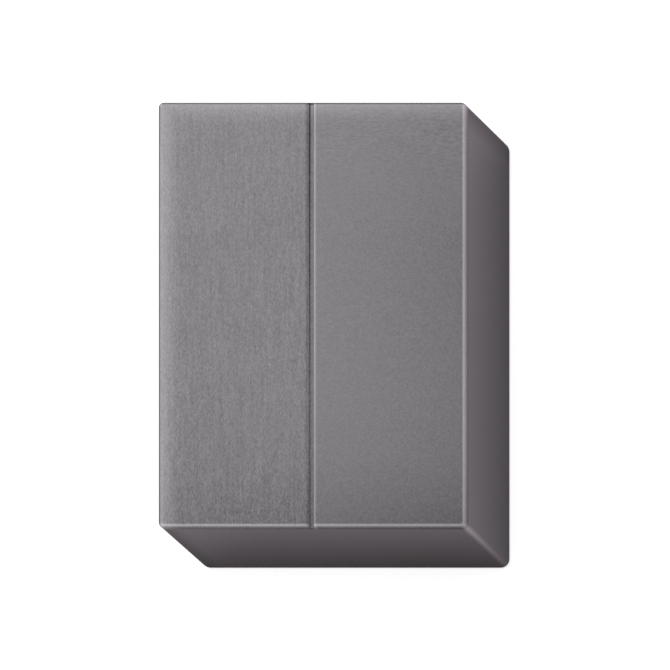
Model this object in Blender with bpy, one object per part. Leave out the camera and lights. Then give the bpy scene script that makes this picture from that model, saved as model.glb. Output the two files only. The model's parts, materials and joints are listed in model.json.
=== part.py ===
"""Prismatic battery cell, lying on its back.

A drawn aluminium can with one pressed bead down its wide face, a welded cover with two
flat terminals, a vent and a sealed fill port, and four flat-wound rolls inside, joined to
the terminals by foil tabs and two collectors. Width runs along X, length along Y with the
terminals at +Y, and thickness along Z with the beaded face up. Metres throughout.
"""
import math

import bmesh
import bpy

# Overall body
BODY_WIDTH = 0.134
BODY_LENGTH = 0.185
BODY_THICKNESS = 0.029

# Can
WALL = 0.0008
BASE_THICKNESS = 0.0012
EDGE_RADIUS = 0.0016
END_CORNER_RADIUS = 0.0035
LIP_WIDTH = 0.0005
SMALLEST_CORNER = 0.00015

# Pressed bead down the middle of the wide face
BEAD_DEPTH = 0.0008
BEAD_FLOOR_WIDTH = 0.0013
BEAD_WALL_RUN = 0.0003
BEAD_SHOULDER_RUN = 0.0018
BEAD_SHOULDER_DROP = 0.0003

# Gap kept between pieces that touch
GAP = 0.0003

# Cover and what is let into it
COVER_THICKNESS = 0.002
COVER_CORNER = 0.002
TERMINAL_RISE = 0.003
TERMINAL_SIDE_MARGIN = 0.024
PAD_WIDTH = 0.022
PAD_DEPTH = 0.014
PAD_THICKNESS = 0.0021
PAD_CORNER = 0.002
PAD_CHAMFER = 0.0004
INSULATOR_RIM = 0.0012
INSULATOR_RIM_HEIGHT = 0.0006
POCKET_DEPTH = 0.0008
VENT_LENGTH = 0.017
VENT_WIDTH = 0.0095
VENT_LEDGE = 0.0013
VENT_DISC_THICKNESS = 0.0003
VENT_FILM_THICKNESS = 0.0003
FILL_PORT_OFFSET = 0.0145
FILL_HOLE_RADIUS = 0.0015
FILL_SEAT_RADIUS = 0.0032
FILL_SEAT_DEPTH = 0.0009
FILL_CAP_THICKNESS = 0.0006

# Terminal posts and their seals
POST_RADIUS = 0.0037
SPIGOT_RADIUS = 0.003
POST_FLANGE_RADIUS = 0.0065
POST_FLANGE_THICKNESS = 0.0012
TAIL_RADIUS = 0.0027
SEAL_WALL = 0.001
SEAL_FLANGE_RADIUS = 0.007
SEAL_FLANGE_THICKNESS = 0.0007

# Insulators and collectors under the cover
LOWER_INSULATOR_THICKNESS = 0.0023
LOWER_INSULATOR_INNER_END = 0.0115
COLLECTOR_THICKNESS = 0.001
COLLECTOR_ARM_OVERHANG = 0.0015
COLLECTOR_FOOT = 0.018
COLLECTOR_SIDE_MARGIN = 0.003

# Sleeve, tray, rolls, tapes and tabs
SLEEVE_WALL = 0.0003
TRAY_THICKNESS = 0.0015
TRAY_HOLE_RADIUS = 0.003
TRAY_HOLE_PITCH = 0.02
TAPE_THICKNESS = 0.0002
TAPE_WIDTH = 0.018
TAPE_END_MARGIN = 0.026
ROLL_HEADROOM = 0.0157
MANDREL_SLOT = 0.0008
COLUMN_SPACING = 0.001
TAB_WIDTH = 0.014
TAB_THICKNESS = 0.0007
TAB_SIDE_MARGIN = 0.017
TAB_ROOT_MARGIN = 0.001
WELD_PLATE_THICKNESS = 0.0006
WELD_PLATE_SIDE_MARGIN = 0.001

# How finely the round stretches are divided
EDGE_STEPS = 4
END_STEPS = 6
SLEEVE_END_STEPS = 3
CIRCLE_STEPS = 24
STADIUM_STEPS = 12
SHOULDER_STEPS = 3

# Planes along the length, counted from the closed end
Y_BASE = -(BODY_LENGTH + TERMINAL_RISE) / 2
Y_END = Y_BASE + BODY_LENGTH
HALF_WIDTH = BODY_WIDTH / 2
MIDDLE = BODY_THICKNESS / 2
SLEEVE_FLOOR = Y_BASE + BASE_THICKNESS + GAP
TRAY_FLOOR = SLEEVE_FLOOR + SLEEVE_WALL + GAP
ROLL_START = TRAY_FLOOR + TRAY_THICKNESS + GAP
ROLL_END = Y_END - ROLL_HEADROOM - GAP

# Levels under the cover, from the cover down to the weld plates
LOWER_INSULATOR_TOP = Y_END - COVER_THICKNESS - GAP
LOWER_INSULATOR_BOTTOM = LOWER_INSULATOR_TOP - LOWER_INSULATOR_THICKNESS
POST_FLANGE_TOP = LOWER_INSULATOR_BOTTOM - GAP
COLLECTOR_TOP = POST_FLANGE_TOP - POST_FLANGE_THICKNESS - GAP
COLLECTOR_BOTTOM = COLLECTOR_TOP - COLLECTOR_THICKNESS
UPPER_TAB_TOP = COLLECTOR_BOTTOM - GAP
LOWER_TAB_TOP = UPPER_TAB_TOP - TAB_THICKNESS - GAP
WELD_PLATE_TOP = LOWER_TAB_TOP - TAB_THICKNESS - GAP

# Places across the width and the thickness
TERMINAL_X = HALF_WIDTH - TERMINAL_SIDE_MARGIN
OUTER_TAB_X = HALF_WIDTH - TAB_SIDE_MARGIN
INNER_TAB_X = (TERMINAL_X - COLLECTOR_FOOT / 2) / 2
SLEEVE_OUTER_INSET = WALL + GAP
SLEEVE_INNER_INSET = SLEEVE_OUTER_INSET + SLEEVE_WALL
TAPE_INSET = SLEEVE_INNER_INSET + GAP
ROLL_INSET = TAPE_INSET + TAPE_THICKNESS + GAP
ROLL_THICKNESS = (BODY_THICKNESS - 2 * ROLL_INSET - GAP) / 2
ROLL_OFFSET = (ROLL_THICKNESS + GAP) / 2
ARM_INNER = TAIL_RADIUS + GAP
ARM_OUTER = MIDDLE - COLLECTOR_SIDE_MARGIN
TAPE_CORNER = ROLL_THICKNESS / 2 + GAP + TAPE_THICKNESS

ALUMINIUM = ("aluminium", (0.62, 0.62, 0.63), 0.35, 1.0)
CAN_METAL = ("can_metal", (0.26, 0.25, 0.265), 0.45, 0.9)
COPPER = ("copper", (0.72, 0.36, 0.22), 0.35, 1.0)
BLACK_PLASTIC = ("black_plastic", (0.03, 0.03, 0.032), 0.5, 0.0)
WHITE_PLASTIC = ("white_plastic", (0.78, 0.78, 0.76), 0.5, 0.0)
RUBBER = ("rubber", (0.05, 0.05, 0.05), 0.7, 0.0)
CLEAR_FILM = ("clear_film", (0.75, 0.8, 0.85), 0.2, 0.0)
TAPE_FILM = ("tape_film", (0.1, 0.45, 0.3), 0.3, 0.0)
WOUND_FILM = ("wound_film", (0.85, 0.85, 0.82), 0.5, 0.0)


def clear_scene():
    for item in list(bpy.data.objects):
        bpy.data.objects.remove(item, do_unlink=True)


def make_material(name, finish):
    colour, roughness, metallic = finish[1:]
    material = bpy.data.materials.new(f"{name}_{finish[0]}")
    material.use_nodes = True
    shader = material.node_tree.nodes["Principled BSDF"]
    shader.inputs["Base Color"].default_value = (*colour, 1.0)
    shader.inputs["Roughness"].default_value = roughness
    shader.inputs["Metallic"].default_value = metallic
    return material


def add_object(name, bm, finish=None):
    """Turn a mesh under construction into a named object with its faces pointing out."""
    bmesh.ops.recalc_face_normals(bm, faces=bm.faces)
    mesh = bpy.data.meshes.new(name)
    bm.to_mesh(mesh)
    bm.free()
    piece = bpy.data.objects.new(name, mesh)
    bpy.context.scene.collection.objects.link(piece)
    if finish is not None:
        mesh.materials.append(make_material(name, finish))
        mesh.shade_smooth()
        mesh.set_sharp_from_angle(angle=math.radians(30))
    return piece


def loft(name, rings, finish=None, closed=False):
    """Skin rings of equal count; closed joins the last ring to the first, else both ends are filled."""
    bm = bmesh.new()
    loops = [[bm.verts.new(point) for point in ring] for ring in rings]
    pairs = list(zip(loops, loops[1:]))
    if closed:
        pairs.append((loops[-1], loops[0]))
    else:
        bm.faces.new(loops[0])
        bm.faces.new(loops[-1])
    for lower, upper in pairs:
        for i in range(len(lower)):
            j = (i + 1) % len(lower)
            bm.faces.new((lower[i], lower[j], upper[j], upper[i]))
    return add_object(name, bm, finish)


def cut(target, cutter):
    """Take the cutter's shape out of the target, and keep the cutter out of the model."""
    modifier = target.modifiers.new(f"cut_{cutter.name}", "BOOLEAN")
    modifier.operation = "DIFFERENCE"
    modifier.solver = "EXACT"
    modifier.object = cutter
    cutter.hide_render = True
    cutter.display_type = "WIRE"


def arc(centre_x, centre_z, radius, start, sweep, steps):
    return [
        (
            centre_x + radius * math.cos(start + sweep * i / steps),
            centre_z + radius * math.sin(start + sweep * i / steps),
        )
        for i in range(steps + 1)
    ]


def rounded_rectangle(half_x, half_z, corner, steps=EDGE_STEPS, centre_x=0.0, centre_z=MIDDLE):
    """Outline in the plane across the length, from the lower right corner round by the front."""
    quarter = math.pi / 2
    points = []
    for turn, (side_x, side_z) in enumerate(((1, -1), (1, 1), (-1, 1), (-1, -1))):
        corner_x = centre_x + side_x * (half_x - corner)
        corner_z = centre_z + side_z * (half_z - corner)
        points += arc(corner_x, corner_z, corner, quarter * (turn - 1), quarter, steps)
    return points


def stadium(half_x, half_z, centre_x=0.0, centre_z=MIDDLE, steps=STADIUM_STEPS):
    right = arc(centre_x + half_x - half_z, centre_z, half_z, -math.pi / 2, math.pi, steps)
    left = arc(centre_x - half_x + half_z, centre_z, half_z, math.pi / 2, math.pi, steps)
    return right + left


def circle(radius, centre_x, centre_z=MIDDLE):
    step = 2 * math.pi / CIRCLE_STEPS
    return [
        (centre_x + radius * math.cos(step * i), centre_z + radius * math.sin(step * i))
        for i in range(CIRCLE_STEPS)
    ]


def at_height(outline, y):
    return [(x, y, z) for x, z in outline]


def plate(name, outline, y_low, y_high, finish=None):
    return loft(name, [at_height(outline, y_low), at_height(outline, y_high)], finish)


def turned(name, profile, centre_x, finish=None, closed=False):
    """Revolve (radius, y) pairs about a line along the length."""
    rings = [at_height(circle(radius, centre_x), y) for radius, y in profile]
    return loft(name, rings, finish, closed)


def bead_profile(inset):
    """(x, drop) pairs across the bead, right to left, as a wall this far inside follows it."""
    floor = BEAD_FLOOR_WIDTH / 2 + inset
    wall = floor + BEAD_WALL_RUN
    half = [(floor, BEAD_DEPTH)]
    for i in range(SHOULDER_STEPS + 1):
        share = i / SHOULDER_STEPS
        half.append((wall + BEAD_SHOULDER_RUN * share, BEAD_SHOULDER_DROP * (1 - share) ** 2))
    return half[::-1] + [(-x, drop) for x, drop in half]


def body_section(y, inset, extra_x=0.0, extra_z=0.0, corner=None):
    """The body's section at one station: a surface this far inside the skin, drawn in further at an end."""
    half_x = HALF_WIDTH - inset - extra_x
    half_z = MIDDLE - inset - extra_z
    if corner is None:
        corner = max(EDGE_RADIUS - inset - extra_z, SMALLEST_CORNER)
    outline = rounded_rectangle(half_x, half_z, corner)
    front = MIDDLE + half_z
    skin = BODY_THICKNESS - inset
    bead = [(x, min(front, skin - drop)) for x, drop in bead_profile(inset)]
    after_front_right = 2 * (EDGE_STEPS + 1)
    outline[after_front_right:after_front_right] = bead
    return at_height(outline, y)


def end_sections(y_end, inset, steps, towards):
    """Sections from the end face back to the full section, round both radii of the end."""
    radius_x = END_CORNER_RADIUS - inset
    radius_z = max(EDGE_RADIUS - inset, SMALLEST_CORNER)
    sections = []
    for i in range(steps + 1):
        depth = radius_x * (1 - math.cos(math.pi / 2 * i / steps))
        rise_x = radius_x - math.sqrt(max(radius_x ** 2 - (radius_x - depth) ** 2, 0.0))
        under_z = max(radius_z - depth, 0.0)
        rise_z = radius_z - math.sqrt(radius_z ** 2 - under_z ** 2)
        sections.append(body_section(y_end - towards * depth, inset, rise_x, rise_z))
    return sections


def mouth_outline(clearance=0.0):
    half_x = HALF_WIDTH - END_CORNER_RADIUS - LIP_WIDTH - clearance
    half_z = MIDDLE - EDGE_RADIUS - LIP_WIDTH - clearance
    return half_x, half_z


def make_can():
    """Drawn shell: closed base, pressed bead, and a mouth turned in to a flat lip."""
    half_x, half_z = mouth_outline()
    lip_x = HALF_WIDTH - half_x
    lip_z = MIDDLE - half_z
    rings = end_sections(Y_BASE, 0.0, END_STEPS, -1)
    rings += end_sections(Y_END, 0.0, END_STEPS, 1)[::-1]
    rings.append(body_section(Y_END, 0.0, lip_x, lip_z, COVER_CORNER + GAP))
    rings.append(body_section(Y_END - WALL, 0.0, lip_x, lip_z, COVER_CORNER + GAP))
    rings += end_sections(Y_END - WALL, WALL, END_STEPS, 1)
    rings += end_sections(Y_BASE + BASE_THICKNESS, WALL, END_STEPS, -1)[::-1]
    return loft("can", rings, CAN_METAL)


def make_sleeve():
    """Open-topped film box between the rolls and the can."""
    top = LOWER_INSULATOR_BOTTOM
    rings = end_sections(SLEEVE_FLOOR, SLEEVE_OUTER_INSET, SLEEVE_END_STEPS, -1)
    rings.append(body_section(top, SLEEVE_OUTER_INSET))
    rings.append(body_section(top, SLEEVE_INNER_INSET))
    inner_floor = SLEEVE_FLOOR + SLEEVE_WALL
    rings += end_sections(inner_floor, SLEEVE_INNER_INSET, SLEEVE_END_STEPS, -1)[::-1]
    return loft("insulating_sleeve", rings, CLEAR_FILM)


def make_tray():
    """Flat tray that the rolls stand on, with a row of holes for the electrolyte."""
    half_x = HALF_WIDTH - END_CORNER_RADIUS
    half_z = MIDDLE - SLEEVE_INNER_INSET - BEAD_DEPTH - GAP
    outline = rounded_rectangle(half_x, half_z, COVER_CORNER)
    tray = plate("base_tray", outline, TRAY_FLOOR, TRAY_FLOOR + TRAY_THICKNESS, WHITE_PLASTIC)
    row_half = half_x - 2 * TRAY_HOLE_RADIUS
    count = 1 + 2 * int(row_half / TRAY_HOLE_PITCH)
    for i in range(count):
        hole_x = (i - (count - 1) / 2) * TRAY_HOLE_PITCH
        outline = circle(TRAY_HOLE_RADIUS, hole_x)
        hole = plate(f"cutter_tray_{i}", outline, TRAY_FLOOR - GAP, TRAY_FLOOR + TRAY_THICKNESS + GAP)
        cut(tray, hole)
    return tray


def make_cover():
    """Cover plate that fills the mouth, with pockets, post holes, a vent seat and a fill port."""
    half_x, half_z = mouth_outline(GAP)
    low = Y_END - COVER_THICKNESS
    cover = plate("cover_plate", rounded_rectangle(half_x, half_z, COVER_CORNER), low, Y_END, ALUMINIUM)
    above = Y_END + GAP
    below = low - GAP
    pocket_x = PAD_WIDTH / 2 + GAP + INSULATOR_RIM + GAP
    pocket_z = PAD_DEPTH / 2 + GAP + INSULATOR_RIM + GAP
    for name, side in (("positive", -1), ("negative", 1)):
        centre = side * TERMINAL_X
        outline = rounded_rectangle(pocket_x, pocket_z, PAD_CORNER, centre_x=centre)
        cut(cover, plate(f"cutter_{name}_pocket", outline, Y_END - POCKET_DEPTH, above))
        outline = circle(POST_RADIUS + 2 * GAP + SEAL_WALL, centre)
        cut(cover, plate(f"cutter_{name}_post_hole", outline, below, above))
    seat = stadium(VENT_LENGTH / 2 + GAP, VENT_WIDTH / 2 + GAP)
    cut(cover, plate("cutter_vent_seat", seat, vent_seat_floor(), above))
    opening = stadium(VENT_LENGTH / 2 - VENT_LEDGE, VENT_WIDTH / 2 - VENT_LEDGE)
    cut(cover, plate("cutter_vent_opening", opening, below, above))
    outline = circle(FILL_SEAT_RADIUS + GAP, FILL_PORT_OFFSET)
    cut(cover, plate("cutter_fill_seat", outline, Y_END - FILL_SEAT_DEPTH, above))
    outline = circle(FILL_HOLE_RADIUS, FILL_PORT_OFFSET)
    cut(cover, plate("cutter_fill_hole", outline, below, above))
    return cover


def vent_seat_floor():
    return Y_END - VENT_FILM_THICKNESS - VENT_DISC_THICKNESS - 3 * GAP


def make_vent():
    """Thin burst disc on the ledge, and the guard film over it."""
    outline = stadium(VENT_LENGTH / 2, VENT_WIDTH / 2)
    low = vent_seat_floor() + GAP
    plate("vent_disc", outline, low, low + VENT_DISC_THICKNESS, ALUMINIUM)
    film = low + VENT_DISC_THICKNESS + GAP
    plate("vent_guard_film", outline, film, film + VENT_FILM_THICKNESS, CLEAR_FILM)


def make_fill_port():
    """Plug pressed into the fill hole, under a welded cap."""
    seat = Y_END - FILL_SEAT_DEPTH
    profile = [(FILL_HOLE_RADIUS - GAP, Y_END - COVER_THICKNESS), (FILL_HOLE_RADIUS - GAP, seat - GAP)]
    turned("fill_plug", profile, FILL_PORT_OFFSET, RUBBER)
    cap = [(FILL_SEAT_RADIUS, Y_END - FILL_CAP_THICKNESS), (FILL_SEAT_RADIUS, Y_END)]
    turned("fill_cap", cap, FILL_PORT_OFFSET, ALUMINIUM)


def make_pad(name, centre):
    """Flat weld pad with a chamfered top edge, riveted over the post's spigot."""
    half_x = PAD_WIDTH / 2
    half_z = PAD_DEPTH / 2
    top = Y_END + TERMINAL_RISE
    full = rounded_rectangle(half_x, half_z, PAD_CORNER, centre_x=centre)
    reduced = (half_x - PAD_CHAMFER, half_z - PAD_CHAMFER, PAD_CORNER - PAD_CHAMFER)
    small = rounded_rectangle(*reduced, centre_x=centre)
    rings = [at_height(full, top - PAD_THICKNESS), at_height(full, top - PAD_CHAMFER)]
    rings.append(at_height(small, top))
    pad = loft(f"{name}_terminal_pad", rings, ALUMINIUM)
    outline = circle(SPIGOT_RADIUS + GAP, centre)
    cut(pad, plate(f"cutter_{name}_pad_hole", outline, top - PAD_THICKNESS - GAP, top + GAP))


def make_upper_insulator(name, centre):
    """Tray under the pad: let into the cover's pocket, with a low rim round the pad."""
    half_x = PAD_WIDTH / 2 + GAP
    half_z = PAD_DEPTH / 2 + GAP
    low = Y_END - POCKET_DEPTH + GAP
    floor = Y_END + TERMINAL_RISE - PAD_THICKNESS - GAP
    rim = floor + GAP + INSULATOR_RIM_HEIGHT
    outer_corner = PAD_CORNER
    inner_corner = PAD_CORNER - INSULATOR_RIM / 2
    outer_half = (half_x + INSULATOR_RIM, half_z + INSULATOR_RIM)
    outer = rounded_rectangle(*outer_half, outer_corner, centre_x=centre)
    inner = rounded_rectangle(half_x, half_z, inner_corner, centre_x=centre)
    rings = [at_height(outer, low), at_height(outer, rim), at_height(inner, rim), at_height(inner, floor)]
    insulator = loft(f"{name}_upper_insulator", rings, BLACK_PLASTIC)
    outline = circle(POST_RADIUS + GAP, centre)
    cut(insulator, plate(f"cutter_{name}_upper_hole", outline, low - GAP, rim + GAP))


def make_post(name, centre, finish):
    """Turned rivet post: spigot in the pad, shank through the cover, flange and tail at the collector."""
    pad_bottom = Y_END + TERMINAL_RISE - PAD_THICKNESS
    flange_bottom = POST_FLANGE_TOP - POST_FLANGE_THICKNESS
    profile = [
        (TAIL_RADIUS, COLLECTOR_BOTTOM - GAP),
        (TAIL_RADIUS, flange_bottom),
        (POST_FLANGE_RADIUS, flange_bottom),
        (POST_FLANGE_RADIUS, POST_FLANGE_TOP),
        (POST_RADIUS, POST_FLANGE_TOP),
        (POST_RADIUS, pad_bottom - GAP),
        (SPIGOT_RADIUS, pad_bottom - GAP),
        (SPIGOT_RADIUS, Y_END + TERMINAL_RISE - GAP),
    ]
    turned(f"{name}_post", profile, centre, finish)


def make_seal(name, centre):
    """Flanged bush between the post and the cover."""
    inner = POST_RADIUS + GAP
    outer = inner + SEAL_WALL
    flange_top = LOWER_INSULATOR_TOP
    flange_bottom = flange_top - SEAL_FLANGE_THICKNESS
    profile = [
        (inner, flange_bottom),
        (SEAL_FLANGE_RADIUS, flange_bottom),
        (SEAL_FLANGE_RADIUS, flange_top),
        (outer, flange_top),
        (outer, Y_END - POCKET_DEPTH),
        (inner, Y_END - POCKET_DEPTH),
    ]
    turned(f"{name}_seal", profile, centre, RUBBER, closed=True)


def make_lower_insulator(name, side):
    """Moulded plate under one half of the cover, with a seat for the seal."""
    mouth_x, mouth_z = mouth_outline(2 * GAP)
    half_x = (mouth_x - LOWER_INSULATOR_INNER_END) / 2
    centre = side * (LOWER_INSULATOR_INNER_END + half_x)
    outline = rounded_rectangle(half_x, mouth_z, COVER_CORNER, centre_x=centre)
    low = LOWER_INSULATOR_BOTTOM
    top = LOWER_INSULATOR_TOP
    insulator = plate(f"{name}_lower_insulator", outline, low, top, BLACK_PLASTIC)
    seat_floor = top - SEAL_FLANGE_THICKNESS - GAP
    outline = circle(SEAL_FLANGE_RADIUS + GAP, side * TERMINAL_X)
    cut(insulator, plate(f"cutter_{name}_seal_seat", outline, seat_floor, top + GAP))
    outline = circle(POST_RADIUS + GAP, side * TERMINAL_X)
    cut(insulator, plate(f"cutter_{name}_lower_hole", outline, low - GAP, top + GAP))
    outline = circle(FILL_HOLE_RADIUS + GAP, side * FILL_PORT_OFFSET)
    cut(insulator, plate(f"cutter_{name}_fill_way", outline, low - GAP, top + GAP))


def turned_about(side, points):
    """Place points for one polarity; the other is the same shape turned half round about the length."""
    return [(-side * x, y, MIDDLE - side * z) for x, y, z in points]


def make_collector(name, side, finish):
    """Flat bar: a foot round the post's tail and an arm that reaches the tabs of both columns."""
    foot_half = COLLECTOR_FOOT / 2
    beyond_tab = TAB_WIDTH / 2 + COLLECTOR_ARM_OVERHANG
    arm_start = -OUTER_TAB_X - beyond_tab
    arm_end = INNER_TAB_X + beyond_tab
    post_x = -TERMINAL_X
    foot_depth = -(POST_FLANGE_RADIUS + GAP)
    outline = [
        (arm_start, ARM_OUTER),
        (arm_start, ARM_INNER),
        (post_x - foot_half, ARM_INNER),
        (post_x - foot_half, foot_depth),
        (post_x + foot_half, foot_depth),
        (post_x + foot_half, ARM_INNER),
        (arm_end, ARM_INNER),
        (arm_end, ARM_OUTER),
    ]
    rings = [
        turned_about(side, [(x, y, z) for x, z in outline])
        for y in (COLLECTOR_BOTTOM, COLLECTOR_TOP)
    ]
    collector = loft(f"{name}_collector", rings, finish)
    hole = circle(TAIL_RADIUS + GAP, side * TERMINAL_X)
    cut(collector, plate(f"cutter_{name}_tail_hole", hole, COLLECTOR_BOTTOM - GAP, COLLECTOR_TOP + GAP))


def strip_outline(path, half_widths):
    """Outline of a bent strip whose half width changes from point to point, given (z, y) points."""
    left = []
    right = []
    for i, (z, y) in enumerate(path):
        before = path[max(i - 1, 0)]
        after = path[min(i + 1, len(path) - 1)]
        run_z = after[0] - before[0]
        run_y = after[1] - before[1]
        if i == 0:
            run_z = 0.0
            run_y = 1.0
        length = math.hypot(run_z, run_y)
        normal = (-run_y / length, run_z / length)
        left.append((z + normal[0] * half_widths[i], y + normal[1] * half_widths[i]))
        right.append((z - normal[0] * half_widths[i], y - normal[1] * half_widths[i]))
    return left + right[::-1]


def make_tab(name, side, centre, outer_roll, finish):
    """Foils gathered from one roll into a strip that lies flat under the collector's arm."""
    half = TAB_THICKNESS / 2
    root_half = ROLL_THICKNESS / 2 - TAB_ROOT_MARGIN
    root_y = ROLL_END + GAP
    bend = TAB_THICKNESS
    if outer_roll:
        level = UPPER_TAB_TOP - half
        riser = ARM_OUTER - half - COLLECTOR_ARM_OVERHANG
        path = [
            (ROLL_OFFSET, root_y),
            (riser - bend / 2, level - 4 * bend),
            (riser, level - 2 * bend),
            (riser - bend / 4, level - bend / 2),
            (riser - bend, level),
            (ARM_INNER + TAB_THICKNESS, level),
        ]
    else:
        level = LOWER_TAB_TOP - half
        reach = ARM_OUTER - COLLECTOR_ARM_OVERHANG - 3 * TAB_THICKNESS
        path = [
            (-ROLL_OFFSET, root_y),
            (-ROLL_OFFSET + 6 * bend, level - 5 * bend),
            (ARM_INNER - 2 * bend, level - 2 * bend),
            (ARM_INNER - bend / 2, level - bend / 2),
            (ARM_INNER + bend / 2, level),
            (reach, level),
        ]
    outline = strip_outline(path, [root_half] + [half] * (len(path) - 1))
    rings = [
        turned_about(side, [(centre + shift, y, z) for z, y in outline])
        for shift in (-TAB_WIDTH / 2, TAB_WIDTH / 2)
    ]
    loft(name, rings, finish)


def make_weld_plate(name, side, centre, finish):
    """Small plate welded through the foils to the collector."""
    half_x = TAB_WIDTH / 2 - WELD_PLATE_SIDE_MARGIN
    z_low = ARM_INNER + TAB_THICKNESS
    z_high = ARM_OUTER - COLLECTOR_ARM_OVERHANG - 3 * TAB_THICKNESS
    outline = [
        (centre - half_x, z_low),
        (centre + half_x, z_low),
        (centre + half_x, z_high),
        (centre - half_x, z_high),
    ]
    rings = [
        turned_about(side, [(x, y, z) for x, z in outline])
        for y in (WELD_PLATE_TOP - WELD_PLATE_THICKNESS, WELD_PLATE_TOP)
    ]
    loft(name, rings, finish)


def make_roll(name, column_x, half_x, z):
    """One flat-wound roll, with the slot that the winding mandrel leaves."""
    half_z = ROLL_THICKNESS / 2
    outer = stadium(half_x, half_z, column_x, z)
    inner = stadium(half_x - half_z, MANDREL_SLOT / 2, column_x, z)
    rings = [
        at_height(outer, ROLL_START),
        at_height(outer, ROLL_END),
        at_height(inner, ROLL_END),
        at_height(inner, ROLL_START),
    ]
    loft(name, rings, WOUND_FILM, closed=True)


def make_tape(name, column_x, half_x, y_low):
    """Band of tape that holds the two rolls of one column together."""
    half_z = MIDDLE - TAPE_INSET
    inner_half = (half_x - TAPE_THICKNESS, half_z - TAPE_THICKNESS)
    outer = rounded_rectangle(half_x, half_z, TAPE_CORNER, centre_x=column_x)
    inner = rounded_rectangle(*inner_half, TAPE_CORNER - TAPE_THICKNESS, centre_x=column_x)
    rings = [
        at_height(outer, y_low),
        at_height(outer, y_low + TAPE_WIDTH),
        at_height(inner, y_low + TAPE_WIDTH),
        at_height(inner, y_low),
    ]
    loft(name, rings, TAPE_FILM, closed=True)


def make_columns():
    """Left and right columns, each of a front and a back roll bound by two tapes."""
    inner_edge = COLUMN_SPACING / 2
    outer_edge = HALF_WIDTH - TAPE_INSET
    tape_half = (outer_edge - inner_edge) / 2
    roll_half = tape_half - TAPE_THICKNESS - GAP
    for column, side in (("left", -1), ("right", 1)):
        column_x = side * (inner_edge + tape_half)
        make_roll(f"{column}_front_roll", column_x, roll_half, MIDDLE + ROLL_OFFSET)
        make_roll(f"{column}_back_roll", column_x, roll_half, MIDDLE - ROLL_OFFSET)
        make_tape(f"{column}_lower_tape", column_x, tape_half, ROLL_START + TAPE_END_MARGIN)
        upper = ROLL_END - TAPE_END_MARGIN - TAPE_WIDTH
        make_tape(f"{column}_upper_tape", column_x, tape_half, upper)


def make_terminals():
    """Everything that belongs to one pole, from the weld pad down to the foil tabs."""
    for name, side, metal in (("positive", -1, ALUMINIUM), ("negative", 1, COPPER)):
        centre = side * TERMINAL_X
        make_pad(name, centre)
        make_upper_insulator(name, centre)
        make_post(name, centre, metal)
        make_seal(name, centre)
        make_lower_insulator(name, side)
        make_collector(name, side, metal)
        outer_layer, inner_layer = ("front", "back") if side < 0 else ("back", "front")
        own_column, other_column = ("left", "right") if side < 0 else ("right", "left")
        for column, tab_x in ((own_column, -OUTER_TAB_X), (other_column, INNER_TAB_X)):
            make_tab(f"{column}_{outer_layer}_{name}_tab", side, tab_x, True, metal)
            make_tab(f"{column}_{inner_layer}_{name}_tab", side, tab_x, False, metal)
            make_weld_plate(f"{column}_{name}_weld_plate", side, tab_x, metal)


def main():
    clear_scene()
    make_can()
    make_cover()
    make_vent()
    make_fill_port()
    make_terminals()
    make_columns()
    make_sleeve()
    make_tray()


main()
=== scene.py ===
"""Prismatic battery cell, dressed for rendering.

An add-on for Blender's 3D view. Each operator models one piece or one group of like pieces of the
cell by hand tools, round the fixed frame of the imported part, and gives it a finish made of nodes.
The cell lies on its back: width along X, length along Y with the terminals at +Y, the beaded wide
face up. Metres throughout.
"""
import json
import math
from contextlib import contextmanager

import bmesh
import bpy
import numpy as np
from bpy.props import FloatProperty, FloatVectorProperty, IntProperty, PointerProperty
from mathutils import Matrix, Vector


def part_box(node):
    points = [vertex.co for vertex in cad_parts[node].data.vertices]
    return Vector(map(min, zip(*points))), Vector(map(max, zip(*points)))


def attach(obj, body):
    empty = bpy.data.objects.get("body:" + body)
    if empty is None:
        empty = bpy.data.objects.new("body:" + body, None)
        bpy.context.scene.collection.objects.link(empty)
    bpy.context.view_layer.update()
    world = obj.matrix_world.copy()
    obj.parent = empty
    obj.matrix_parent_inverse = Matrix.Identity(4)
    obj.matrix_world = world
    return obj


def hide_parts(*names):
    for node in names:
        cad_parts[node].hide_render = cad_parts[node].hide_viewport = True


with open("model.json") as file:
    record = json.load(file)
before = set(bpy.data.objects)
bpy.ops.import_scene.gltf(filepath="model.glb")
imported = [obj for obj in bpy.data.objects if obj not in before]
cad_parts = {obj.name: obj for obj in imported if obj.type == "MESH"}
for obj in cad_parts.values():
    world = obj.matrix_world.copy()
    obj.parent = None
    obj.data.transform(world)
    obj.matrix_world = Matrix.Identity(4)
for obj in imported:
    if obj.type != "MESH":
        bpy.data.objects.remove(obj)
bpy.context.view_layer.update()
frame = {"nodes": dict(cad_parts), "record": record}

bl_info = {
    "name": "Prismatic Cell Builder",
    "version": (1, 0, 0),
    "blender": (4, 5, 0),
    "location": "3D View > Sidebar > Cell",
    "description": "Models the pieces of a prismatic battery cell and their finishes",
    "category": "Mesh",
}

POLES = ("positive", "negative")
METALS = ("aluminium", "copper")
CAN_LOW, CAN_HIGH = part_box("can")
COVER_LOW, COVER_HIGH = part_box("cover_plate")
MIDDLE = (CAN_LOW + CAN_HIGH) / 2
Y_BASE, Y_END = CAN_LOW.y, CAN_HIGH.y
FRONT = CAN_HIGH.z
HALF_WIDTH = CAN_HIGH.x
GAP = 0.0003
TINY = 0.00001
EDGE_SEEN = 0.0015


# Sizes and colours that a user would change

def length(name, description, default):
    return FloatProperty(name=name, description=description, default=default, min=0.0, precision=5,
                         subtype="DISTANCE", unit="LENGTH")


def colour(name, description, default):
    return FloatVectorProperty(name=name, description=description, default=default, size=3,
                               min=0.0, max=1.0, subtype="COLOR")


def share(name, description, default, top=1.0):
    return FloatProperty(name=name, description=description, default=default, min=0.0, max=top)


def whole_number(name, description, default):
    return IntProperty(name=name, description=description, default=default, min=2)


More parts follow.
